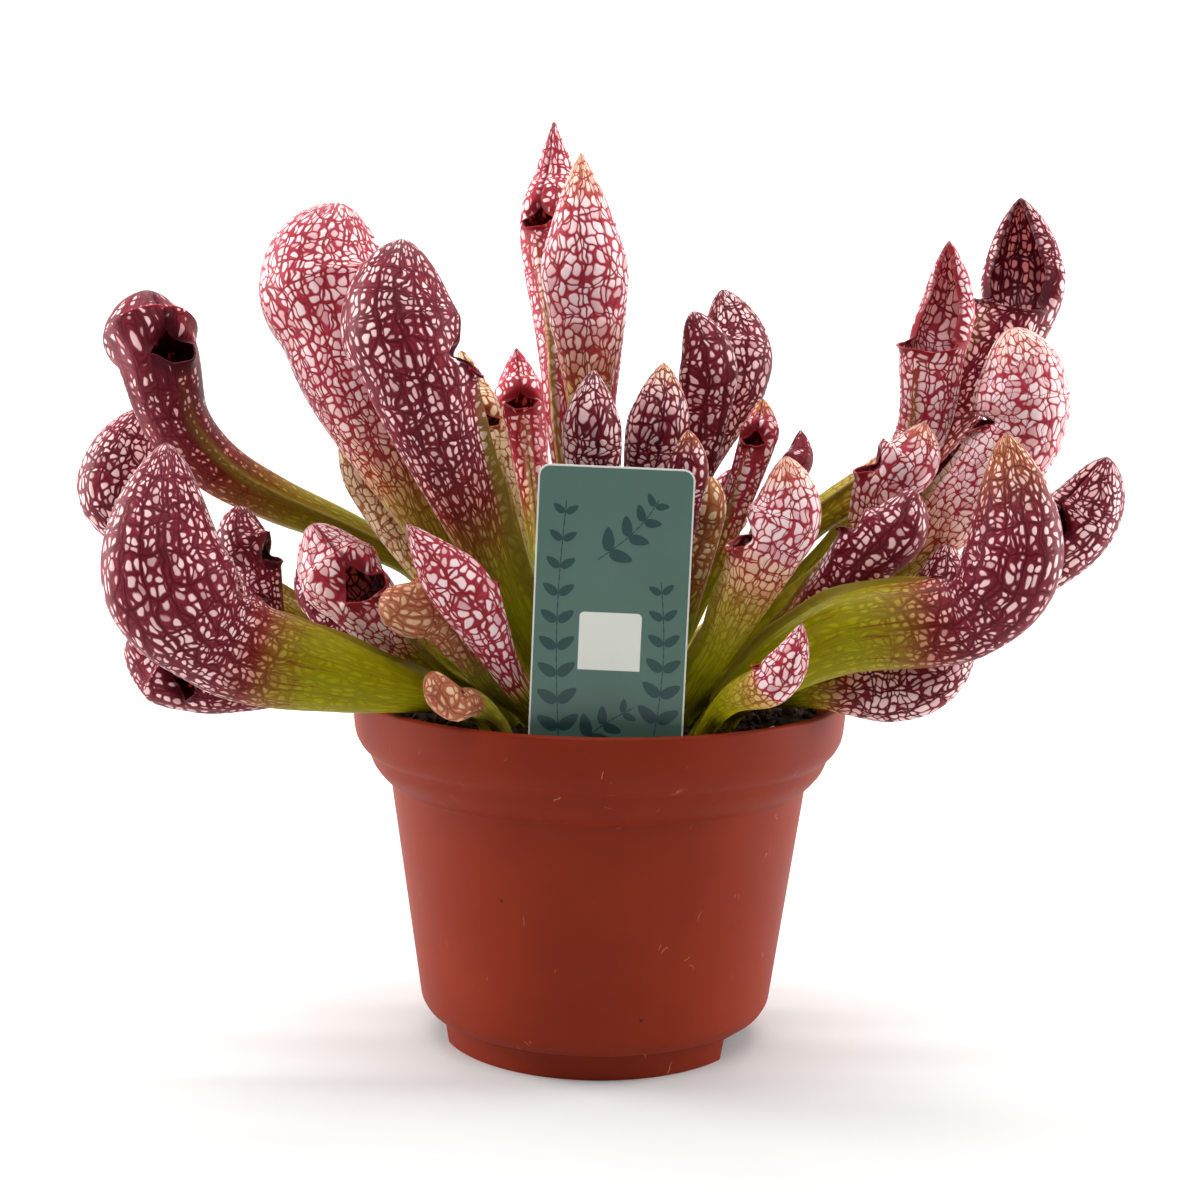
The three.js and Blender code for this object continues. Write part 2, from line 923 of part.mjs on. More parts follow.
// A pitcher is one closed skin. Its outside is a row of closed rings up to the lip and
// open arcs from there to the tip. Its inside is the same, one blade thickness smaller,
// and closed by a floor part way down the tube. A rim joins the two round the mouth.
function pitcherGeometry(leaf) {
  const line = spine(leaf);
  const end = line.samples.at(-1).s;
  const hoodLength = end - line.lip;
  const columns = leaf.large ? 8 : 6;
  const rows = leaf.large ? 5 : 4;
  const wall = LEAF_WALL;
  const positions = [];
  const faces = [];
  const add = (p) => positions.push(p.x, p.y, p.z) / 3 - 1;
  const tri = (a, b, c) => faces.push(a, c, b);
  const quad = (a, b, c, d) => {
    tri(a, b, c);
    tri(a, c, d);
  };

  const ring = (st, angles, radius) =>
    angles.map((angle, k) => {
      const p = st.at.clone();
      const r = radius(angle, k);
      p.addScaledVector(st.side, -r * Math.cos(angle));
      p.addScaledVector(st.across, r * Math.sin(angle));
      return add(p);
    });
  const arc = (gap) => {
    const angles = [];
    for (let k = 0; k < columns; k += 1)
      angles.push((Math.PI - gap) * ((2 * k) / (columns - 1) - 1));
    return angles;
  };
  const lipGap = hoodGap(leaf, 0);
  // Closed rings have more columns in front: the keel and one on each side of it.
  const around = (keel) => [...arc(lipGap), Math.PI - keel, Math.PI, Math.PI + keel];
  const facet = 1 / Math.cos(Math.PI / (columns + KEEL_COLUMNS));

  const tubeRing = (s, thin) => {
    const u = (s - line.collar) / (line.lip - line.collar);
    const winged = thin ? 0 : wingHeight(leaf, u);
    const narrow = smooth((u - 0.7) / 0.3);
    const keel = THREE.MathUtils.lerp(radians(KEEL_ANGLE), lipGap / 2, narrow);
    const flare = LIP_FLARE * smooth((u - 0.8) / 0.2);
    const r = tubeRadius(leaf, u) * facet - thin;
    const radius = (angle, k) => {
      const front = THREE.MathUtils.clamp((-Math.cos(angle) - 0.2) / 0.8, 0, 1);
      return r * (1 + flare * front) + (k === columns + 1 ? winged : 0);
    };
    return ring(station(line, s), around(keel), radius);
  };
  const hoodRow = (v, thin) => {
    const cut = TIP_BLADES * thin;
    const s = line.lip + v * (hoodLength - cut);
    const along = (s - line.lip) / hoodLength;
    const r = Math.max(hoodRadius(leaf, along) * facet - thin, TIP_RADIUS);
    return ring(station(line, s), arc(hoodGap(leaf, v)), () => r);
  };

  const layer = (first, count, thin) => {
    const rings = [];
    if (!thin) rings.push(tubeRing(0, 0));
    for (let i = 0; i <= count; i += 1)
      rings.push(tubeRing(first + ((line.lip - first) * i) / count, thin));
    const arcs = [rings.at(-1)];
    for (let j = 1; j < rows; j += 1) arcs.push(hoodRow(1 - (1 - j / rows) ** 1.2, thin));
    const cut = TIP_BLADES * thin;
    const top = add(station(line, end - cut).at);
    const foot = add(station(line, thin ? first : 0).at);
    return { rings, arcs, top, foot };
  };
  const skin = ({ rings, arcs, top, foot }, outward) => {
    const face = (a, b, c, d) => (outward ? quad(a, b, c, d) : quad(a, d, c, b));
    const cap = (a, b, c) => (outward ? tri(a, b, c) : tri(a, c, b));
    const n = rings[0].length;
    for (let i = 0; i + 1 < rings.length; i += 1)
      for (let k = 0; k < n; k += 1) {
        const next = (k + 1) % n;
        face(rings[i][k], rings[i][next], rings[i + 1][next], rings[i + 1][k]);
      }
    for (let k = 0; k < n; k += 1) cap(foot, rings[0][(k + 1) % n], rings[0][k]);
    for (let j = 0; j + 1 < arcs.length; j += 1)
      for (let k = 0; k + 1 < columns; k += 1)
        face(arcs[j][k], arcs[j][k + 1], arcs[j + 1][k + 1], arcs[j + 1][k]);
    const last = arcs.at(-1);
    for (let k = 0; k + 1 < columns; k += 1) cap(last[k], last[k + 1], top);
  };
  const edge = ({ arcs, top }) => {
    const lip = arcs[0];
    const right = arcs.slice(1).map((row) => row[0]);
    const left = arcs.slice(1).map((row) => row[columns - 1]);
    return [...lip.slice(columns - 1), lip[0], ...right, top, ...left.reverse()];
  };

  const outside = layer(line.collar, leaf.bands, 0);
  const deep = (CAVITY_BANDS / leaf.bands) * (line.lip - line.collar);
  const inside = layer(line.lip - deep, CAVITY_BANDS, wall);
  skin(outside, true);
  skin(inside, false);
  const outer = edge(outside);
  const inner = edge(inside);
  for (let i = 0; i < outer.length; i += 1) {
    const next = (i + 1) % outer.length;
    quad(outer[i], outer[next], inner[next], inner[i]);
  }

  const geometry = new THREE.BufferGeometry();
  const array = new Float32Array(positions);
  geometry.setAttribute("position", new THREE.BufferAttribute(array, 3));
  geometry.setIndex(faces);
  return geometry;
}

// ---- The peat --------------------------------------------------------------------------

function stalkHole(leaf) {
  const { base, start } = stalkStart(leaf);
  const deep = ROOTED + CLEARANCE;
  const low = base.clone().addScaledVector(start, -deep);
  const high = base.clone().addScaledVector(start, HOLE_TOP);
  const round = leaf.root * HOLE_EASE + CLEARANCE;
  const radius = round / Math.cos(Math.PI / HOLE_SIDES);
  return post(low, high, radius, HOLE_SIDES);
}

function makeSoil(leaves) {
  const wall = POT_INSIDE.filter(([, z]) => z < SOIL_TOP);
  const side = wall.map(([r, z]) => [r - CLEARANCE, z]);
  const outline = [
    [0, FLOOR_TOP + CLEARANCE],
    [FOOT_RADIUS + 0.4, FLOOR_TOP + CLEARANCE],
    ...side,
    [side.at(-1)[0] + 0.2, SOIL_TOP - EDGE_DROP],
    [FLAT_RADIUS, SOIL_TOP],
    [0, SOIL_TOP + SOIL_CROWN],
  ];
  let body = solid(lathe(outline, POT_SIDES));
  for (const leaf of leaves) body = body.subtract(solid(stalkHole(leaf)));
  body = body.subtract(solid(labelGeometry(CLEARANCE)));
  return finish("peat", geometryOf(body), PEAT, 0.95);
}

// ---- The label -------------------------------------------------------------------------

// A card with round corners. With a margin it is the slot that the card stands in.
function labelGeometry(margin) {
  const half = LABEL_WIDTH / 2 + margin;
  const low = SOIL_TOP - LABEL_DEPTH - margin;
  const high = SOIL_TOP - LABEL_DEPTH + LABEL_HEIGHT;
  const thick = LABEL_THICKNESS + 2 * margin;
  const corner = LABEL_CORNER;
  const shape = new THREE.Shape();
  shape.moveTo(-half, low);
  shape.lineTo(half, low);
  shape.lineTo(half, high - corner);
  shape.absarc(half - corner, high - corner, corner, 0, Math.PI / 2);
  shape.absarc(corner - half, high - corner, corner, Math.PI / 2, Math.PI);
  const options = { depth: thick, bevelEnabled: false, curveSegments: 4 };
  const card = new THREE.ExtrudeGeometry(shape, options);
  card.translate(0, -SOIL_TOP, -thick / 2);
  card.rotateZ(radians(-LABEL_LEAN));
  card.rotateX(Math.PI / 2);
  card.translate(LABEL_PLACE[0], LABEL_PLACE[1], SOIL_TOP);
  return card;
}

// ---- The whole plant -------------------------------------------------------------------

const plant = new THREE.Group();
const leaves = PITCHERS.map((leaf) => ({ ...USUAL, ...leaf }));
plant.add(makePot());
plant.add(makeSoil(leaves));
plant.add(finish("label", labelGeometry(0), CARD, 0.45));
for (const leaf of leaves)
  plant.add(finish(leaf.name, pitcherGeometry(leaf), leaf.colour, 0.45));

export default plant;
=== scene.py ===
"""A potted pitcher plant: the finished look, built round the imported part.

The pot, the peat, the label and each pitcher leaf get a finer surface in the place of their
plain solids. Shapes are worked out in millimetres, in the part's own frame, and turned to
metres when they become meshes.
"""

import math
from functools import partial

import bpy
import numpy as np
from mathutils import Matrix, Vector


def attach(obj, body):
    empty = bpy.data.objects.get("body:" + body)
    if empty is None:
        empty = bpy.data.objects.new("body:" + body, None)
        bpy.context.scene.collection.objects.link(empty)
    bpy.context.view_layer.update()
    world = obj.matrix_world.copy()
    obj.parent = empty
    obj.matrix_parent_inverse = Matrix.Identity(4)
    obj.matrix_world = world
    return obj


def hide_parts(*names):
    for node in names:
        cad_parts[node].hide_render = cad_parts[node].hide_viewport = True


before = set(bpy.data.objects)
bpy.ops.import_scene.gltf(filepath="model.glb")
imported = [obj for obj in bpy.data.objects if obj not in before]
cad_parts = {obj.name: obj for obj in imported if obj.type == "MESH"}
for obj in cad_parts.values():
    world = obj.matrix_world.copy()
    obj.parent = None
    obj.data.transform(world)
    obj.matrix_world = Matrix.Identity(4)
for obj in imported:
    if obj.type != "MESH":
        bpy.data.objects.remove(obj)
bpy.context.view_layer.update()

MM = 0.001
TURN = 2 * math.pi

# ---- Driving dimensions, as in the part's source ----

POT_WALL = 1.8
FOOT_RADIUS = 44.6
FOOT_HEIGHT = 7.6
FOOT_THICKNESS = 2.2
FLOOR_TOP = 8.8
FOOT_NOTCHES = (-18, 100, 182)
FOOT_NOTCH_WIDTH = 30
DRAIN_HOLES = 6
DRAIN_RADIUS = 4
DRAIN_CIRCLE = 30
SOIL_TOP = 93
CLEARANCE = 0.3

LABEL_WIDTH = 40
LABEL_HEIGHT = 83
LABEL_THICKNESS = 0.8
LABEL_CORNER = 3
LABEL_DEPTH = 8
LABEL_PLACE = (1.5, -58.5)
LABEL_LEAN = 1.6
PRINT_HEIGHT = 0.02

ROOTED = 9
COLLAR = 8
BLADE = 0.9
CAVITY_FROM = 0.5
TIP_BLADES = 2.4
LIP_FLARE = 0.14
HOOD_CREST = 0.45

# ---- Small helpers ----


def smooth(x):
    """Eases from 0 to 1: three squares less two cubes of x, held between 0 and 1."""
    x = np.clip(x, 0, 1)
    return x * x * (3 - 2 * x)


def unit(v):
    """Vectors divided by their lengths, along the last axis."""
    return v / np.maximum(np.linalg.norm(v, axis=-1, keepdims=True), 1e-9)


def square_to(v, way):
    """Vectors less their part along unit vectors, brought to length 1."""
    return unit(v - way * np.sum(v * way, axis=-1, keepdims=True))


def linear(colour):
    """An sRGB hex colour as linear red, green, blue and a full alpha."""
    values = [int(colour[i : i + 2], 16) / 255 for i in (1, 3, 5)]
    return [v / 12.92 if v <= 0.04045 else ((v + 0.055) / 1.055) ** 2.4 for v in values] + [1]


MODES = {
    "Math": "operation", "VectorMath": "operation", "Mix": "data_type",
    "MapRange": "interpolation_type", "TexVoronoi": "feature",
}


def add(tree, kind, *values, named=None, stops=(), **settings):
    """Adds a shader node and returns its outputs. `kind` is the node's type and, after a
    space, its mode. The values go to the inputs in use, in order, and `named` ones by name:
    each is a number, a vector, a colour, or outputs, of which the first in use is linked."""
    kind, _, mode = kind.partition(" ")
    node = tree.nodes.new("ShaderNode" + kind)
    if mode:
        setattr(node, MODES[kind], mode)
    for key, value in settings.items():
        setattr(node, key, value)
    for i, (place, colour) in enumerate(stops):
        elements = node.color_ramp.elements
        stop = elements[i] if i < 2 else elements.new(place)
        stop.position, stop.color = place, linear(colour)
    in_use = [socket for socket in node.inputs if socket.enabled]
    by_name = [(node.inputs[key], value) for key, value in (named or {}).items()]
    for socket, value in [*zip(in_use, values), *by_name]:
        if isinstance(value, bpy.types.bpy_prop_collection):
            value = next(output for output in value if output.enabled)
        if isinstance(value, bpy.types.NodeSocket):
            tree.links.new(value, socket)
        else:
            socket.default_value = linear(value) if isinstance(value, str) else value
    return node.outputs


def new_material(name):
    """An empty material, and the function that adds a node to it."""
    material = bpy.data.materials.new(name)
    material.use_nodes = True
    material.node_tree.nodes.clear()
    return material, partial(add, material.node_tree)


def make_mesh(name, points, faces, corners=None, kinds=None):
    """A smooth-shaded mesh from points in mm and arrays of faces. `corners` holds named
    vectors, one for each face corner, and `kinds` the material number of each face."""
    loops = np.concatenate([f.ravel() for f in faces])
    sizes = np.concatenate([np.full(len(f), f.shape[1]) for f in faces])
    mesh = bpy.data.meshes.new(name)
    mesh.vertices.add(len(points))
    mesh.vertices.foreach_set("co", (points * MM).astype(np.float32).ravel())
    mesh.loops.add(len(loops))
    mesh.loops.foreach_set("vertex_index", loops.astype(np.int32))
    mesh.polygons.add(len(sizes))
    starts = np.concatenate([[0], np.cumsum(sizes)[:-1]])
    mesh.polygons.foreach_set("loop_start", starts.astype(np.int32))
    if kinds is not None:
        mesh.polygons.foreach_set("material_index", kinds.astype(np.int32))
    mesh.update(calc_edges=True)
    mesh.shade_smooth()
    for key, values in (corners or {}).items():
        layer = mesh.attributes.new(key, "FLOAT_VECTOR", "CORNER")
        layer.data.foreach_set("vector", values.astype(np.float32).ravel())
    return mesh


def placed(name, data):
    """A new object with this data, in the scene."""
    made = bpy.data.objects.new(name, data)
    bpy.context.scene.collection.objects.link(made)
    return made


def piece(mesh, materials, nodes=()):
    """A piece of the plant: it rides on the plant's one body and stands for some solids."""
    made = placed(mesh.name, mesh)
    for material in materials:
        mesh.materials.append(material)
    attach(made, "root")
    if nodes:
        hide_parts(*nodes)


def joined(*parts):
    """Arrays and numbers, stretched to one shape and laid side by side as vectors."""
    return np.stack(np.broadcast_arrays(*parts), axis=-1)


def around(count):
    """Equal steps round a full turn."""
    return np.arange(count) / count * TURN


def polar(r, turn, z):
    """Points at radii, angles and heights from the upright axis."""
    return joined(r * np.cos(turn), r * np.sin(turn), z)


def patch(ids):
    """Quads between neighbours in a table of point numbers."""
    return joined(ids[:-1, :-1], ids[:-1, 1:], ids[1:, 1:], ids[1:, :-1]).reshape(-1, 4)


def rings_patch(ids, again=0):
    """The same where each row is a closed ring and, with `again` 1, the rows are as well."""
    return patch(np.pad(ids, ((0, again), (0, 1)), "wrap"))


def table(rows, columns):
    """The numbers of points that are laid out row by row."""
    return np.arange(rows * columns).reshape(rows, columns)


def fan(pole, ring):
    """Triangles from one point to a ring of points."""
    return joined(pole, ring, np.roll(ring, -1))


def closed_rings(rows, columns):
    """Faces of rings of points, followed by a pole for the first ring and one for the last."""
    ids, count = table(rows, columns), rows * columns
    ends = [fan(count, ids[0]), fan(count + 1, ids[-1])[:, [0, 2, 1]]]
    return [rings_patch(ids)[:, [0, 3, 2, 1]], np.vstack(ends)]


def copies(faces, count, points):
    """The faces of this many shapes alike, each with this many points."""
    step = (np.arange(count) * points)[:, None, None]
    return [(f + step).reshape(-1, f.shape[1]) for f in faces]


def volume(points, faces):
    """Signed volume inside closed faces: a sixth of the triple products of their triangles."""
    total = 0
    for f in faces:
        for k in range(1, f.shape[1] - 1):
            a, b, c = points[f[:, 0]], points[f[:, k]], points[f[:, k + 1]]
            total += np.einsum("ij,ij->", a, np.cross(b, c)) / 6
    return total


def waves(points, rng, count, longest, shortest):
    """A bumpy height field: plane waves in random directions, each as high as it is long."""
    total = np.zeros(points.shape[:-1])
    for length in np.geomspace(longest, shortest, count):
        way = unit(rng.normal(size=points.shape[-1]))
        total += length / longest * np.sin(points @ way * TURN / length + rng.uniform(0, TURN))
    return total


# ---- The pitchers' middle lines ----

# What a leaf has unless its row says otherwise. The half gap in front of the mouth is `open`
# degrees and closes by the share `shut` up to `close` of the hood, which `point` sharpens.
# `swell` and `belly` shape the tube, `wing` and `root` are the ridge's height and the stalk's
# radius in mm, and `rise` is the least slope at the base in degrees. `up` is how far the mouth
# looks up, `bulge` how far the crest leans back and `sag` how low the middle hangs.
USUAL = dict(
    bends=(), open=44, shut=0.95, close=0.25, point=0.3, swell=2.2, belly=0.35, wing=3,
    rise=55, up=0.25, bulge=0.12, sag=0.05, small=False, root=2.7, keel=0.03, cheek=0.08,
    skin="light", green=(0.4, 0.85), windows=0.6, depth=0.5, warm=0.0, grain=1.0,
)
SMALL = dict(small=True, wing=1.6, root=2.3, grain=1.2)
SPINE_STEPS = 40


def spline(points):
    """Samples of a centripetal Catmull-Rom curve and their directions. Each span is a cubic
    whose end slopes are divided differences timed by the square root of the distance."""
    p = np.array(points, float)
    p = np.vstack([2 * p[0] - p[1], p, 2 * p[-1] - p[-2]])
    gap = np.sqrt(np.linalg.norm(np.diff(p, axis=0), axis=1))[:, None]
    x0, x1, x2, x3 = p[:-3], p[1:-2], p[2:-1], p[3:]
    d0, d1, d2 = gap[:-2], gap[1:-1], gap[2:]
    m1 = ((x1 - x0) / d0 - (x2 - x0) / (d0 + d1) + (x2 - x1) / d1) * d1
    m2 = ((x2 - x1) / d1 - (x3 - x1) / (d1 + d2) + (x3 - x2) / d2) * d1
    t = (np.arange(SPINE_STEPS + 1) / SPINE_STEPS)[None, :, None]
    x1, x2, m1, m2 = (v[:, None, :] for v in (x1, x2, m1, m2))
    c2 = 3 * (x2 - x1) - 2 * m1 - m2
    c3 = 2 * (x1 - x2) + m1 + m2
    at = x1 + m1 * t + c2 * t**2 + c3 * t**3
    way = m1 + 2 * c2 * t + 3 * c3 * t**2
    last = [at[-1, -1:], way[-1, -1:]]
    at, way = (v[:, :-1].reshape(-1, 3) for v in (at, way))
    return np.vstack([at, last[0]]), unit(np.vstack([way, last[1]]))


def spine(leaf):
    """The middle line of a pitcher as samples with the distance along it, its direction and
    the direction of the mouth's side, and the distances of its base, collar, lip and end."""
    base = np.array([*leaf["base"], SOIL_TOP], float)
    mouth, tip = np.array(leaf["mouth"], float), np.array(leaf["tip"], float)
    way = mouth - base
    flat = math.hypot(way[0], way[1])
    steep = max(math.atan2(way[2], flat), math.radians(leaf["rise"]))
    side = math.cos(steep) / flat
    start = np.array([way[0] * side, way[1] * side, math.sin(steep)])
    middle = base + way / 2 - [0, 0, leaf["sag"] * np.linalg.norm(way)]
    bends = [np.array(p, float) for p in leaf["bends"]] or [middle]
    hood = tip - mouth
    angle = math.radians(leaf["faces"])
    out = np.array([math.cos(angle), math.sin(angle), leaf["up"]])
    along = unit(unit(hood) + unit(mouth - bends[-1]))
    face = square_to(out, along)
    crest = mouth + HOOD_CREST * hood - leaf["bulge"] * np.linalg.norm(hood) * face
    points = [base - ROOTED * start, base, base + COLLAR * start, *bends, mouth, crest, tip]
    at, way = spline(points)
    s = np.concatenate([[0], np.cumsum(np.linalg.norm(np.diff(at, axis=0), axis=1))])
    lip = (len(points) - 3) * SPINE_STEPS
    sides = np.zeros_like(at)
    sides[lip] = square_to(out, way[lip])
    for to_tip, steps in ((1, range(lip + 1, len(at))), (-1, range(lip - 1, -1, -1))):
        for i in steps:
            sides[i] = square_to(sides[i - to_tip], way[i])
    return dict(
        at=at, way=way, side=sides, s=s, base=s[SPINE_STEPS],
        collar=s[2 * SPINE_STEPS], lip=s[lip], end=s[-1],
    )


def station(line, s):
    """Place, direction, side and across direction of the middle line at distances s."""
    at, way, side = (
        np.stack([np.interp(s, line["s"], line[key][:, i]) for i in range(3)], axis=-1)
        for key in ("at", "way", "side")
    )
    way = unit(way)
    side = square_to(side, way)
    return at, way, side, np.cross(way, side)


# ---- The pitchers' skins ----

FACET = {False: 1.03, True: 1.045}  # the solids' faces stand out this far past their radius
TUBE_ROWS, LIP_ROWS, HOOD_ROWS = 60, 22, 54
FRONT, ARC = 8, 56  # columns on each side of the wing's line, and on the rest of a ring
LIP_ZONE = 8  # rows are closer together this far below the lip
EDGE_REACH = 6  # the distance from the rim is told up to this
STALK_END = 7  # a stalk ends this far below the peat, in its solid's hole
WING_GAP = math.radians(38)  # the columns beside the wing's line reach this far round

# The skins' finer form. Heights are parts of the radius. Where a length is in mm, it is that
# of a pitcher with a throat of 10 mm, and grows with the throat.
THROAT = 10
WAVES = ((0.022, 2, 0.9), (0.014, 3, 0.55))  # height, lobes round the leaf, length in throats
RIB_HEIGHT = 0.008
KEEL_WIDTH = 0.13
CURL, CURL_REACH = 0.9, 2
MOUTH_CURL, MOUTH_CURL_REACH = 2.2, 3.2  # more of both beside the mouth
LIP_OUT, LIP_DOWN, LIP_REACH = 1.4, 1.1, 3.6
DIP, DIP_REACH = 3.2, 8
WING_EDGE, WING_FOOT = 0.85, 2.6
THINNEST = 0.12


def leaf_shape(leaf, line, s, angle, thin, phase):
    """Points of one skin of a pitcher at rows of distance s and columns of angle round it.

    The radius below the lip goes from the stalk's to the throat's with a power of the way
    up, plus a belly, a flare in front of the lip and a sharp wing opposite the back. Above
    the lip it swells to the hood's radius and closes as a power curve, with a cheek on each
    side of the mouth. Slow waves and ribs make it uneven. The hood's edges curl in, most of
    all beside the mouth. The lip turns out and down, and dips between the hood's edges. A
    blade's thickness comes off for the inner skin.
    """
    lip, end, collar = line["lip"], line["end"], line["collar"]
    s = s[:, None]
    u = (s - collar) / (lip - collar)
    v = np.clip((s - lip) / (end - lip), 0, 1)
    t = np.clip(u, 0, 1)
    widened = t ** leaf["swell"] * (1 + 4 * leaf["belly"] * t * (1 - t))
    tube = leaf["root"] + (leaf["throat"] - leaf["root"]) * widened
    full = leaf["throat"] + (leaf["hood"] - leaf["throat"]) * smooth(v / 0.4)
    closing = (1 - v ** (2.6 - 1.1 * leaf["point"])) ** (0.5 + 0.55 * leaf["point"])
    r = np.where(s <= lip, tube, full * closing) * FACET[leaf["small"]]
    scale = leaf["throat"] / THROAT

    front = np.clip((-np.cos(angle) - 0.2) / 0.8, 0, 1)
    flare = LIP_FLARE * smooth((u - 0.8) / 0.2) * (1 - smooth(v / 0.12)) * front
    uneven = 0
    for i, (high, lobes, long) in enumerate(WAVES):
        along = np.sin(s / (long * leaf["throat"]) + phase[2 * i + 1])
        uneven = uneven + high * np.sin(lobes * angle + phase[2 * i]) * along
    ribs = RIB_HEIGHT * np.cos(leaf["ribs"] * angle + phase[4])
    ribs = ribs * smooth(u / 0.4) * (1 - smooth(v / 0.7))
    keel = leaf["keel"] * np.exp(-((angle / KEEL_WIDTH) ** 2)) * smooth((u - 0.75) / 0.3)
    keel = keel * (1 - smooth((v - 0.85) / 0.15))
    cheek = leaf["cheek"] * np.sin(math.pi * np.clip(v / 0.85, 0, 1) ** 0.8) ** 1.3
    cheek = cheek * smooth((np.abs(angle) - 1.1) / 1.2)
    radius = r * (1 + flare + (uneven + ribs) * smooth(u / 0.35) + keel + cheek)

    gap = hood_gap(leaf, v)
    away = r * np.abs(math.pi - gap - np.abs(angle))
    at_mouth = 1 - smooth((v / leaf["close"] - 0.55) / 0.6)
    above = smooth(v / 0.07) * (1 - smooth((v - 0.8) / 0.2)) * (s > lip)
    curl = (CURL + MOUTH_CURL * at_mouth) * scale * above
    reach = (CURL_REACH + MOUTH_CURL_REACH * at_mouth) * scale
    radius = radius - curl * np.clip(1 - away / reach, 0, 1) ** 2

    rise = np.where((u > 0) & (u < 1), np.sin(math.pi * t**0.7), 0) ** 0.8
    wing = leaf["wing"] * rise * (1 + 0.08 * np.sin(s / 3.1 + phase[5]))
    away = r * (math.pi - np.abs(angle))
    edge, foot = (np.exp(-((away / width) ** 2)) for width in (WING_EDGE, WING_FOOT))
    ridge = 0 if thin else wing * (0.8 * edge + 0.2 * foot)
    below = (lip - s) / scale
    near, nearby = (np.clip(1 - below / far, 0, 1) * (s <= lip) for far in (LIP_REACH, DIP_REACH))
    lips = smooth((np.abs(angle) - (math.pi - gap - 0.1)) / 0.5) * scale
    dip = DIP * nearby**1.5 * smooth((np.abs(angle) - (math.pi - gap)) / (0.75 * gap)) * scale
    radius = np.maximum(radius + LIP_OUT * near**2 * lips + ridge - thin, THINNEST)

    at, way, side, across = (x[:, None, :] for x in station(line, s[:, 0]))
    points = at - (radius * np.cos(angle))[..., None] * side
    points = points + (radius * np.sin(angle))[..., None] * across
    return points - (LIP_DOWN * near**4 * lips + dip)[..., None] * way


def hood_gap(leaf, v):
    """Half of the gap in front of the hood at v, in radians."""
    return math.radians(leaf["open"]) * (1 - leaf["shut"] * smooth(v / leaf["close"]))


def spread_out(x):
    """Columns from -1 to 1, closer together towards both ends: a fifth of x itself and the
    rest a quarter wave of x."""
    bend = 0.45 * math.pi
    return 0.2 * x + 0.8 * np.sin(bend * x) / math.sin(bend)


# How fast the net runs up a leaf: slowly on the stalk, where the cells are drawn out, and in
# step with the blade from the upper tube on. The inside's net starts further up.
STALK_PACE = 0.28
INSIDE_START = 0.225
NET_WIDTH = 0.8  # of the hood's width


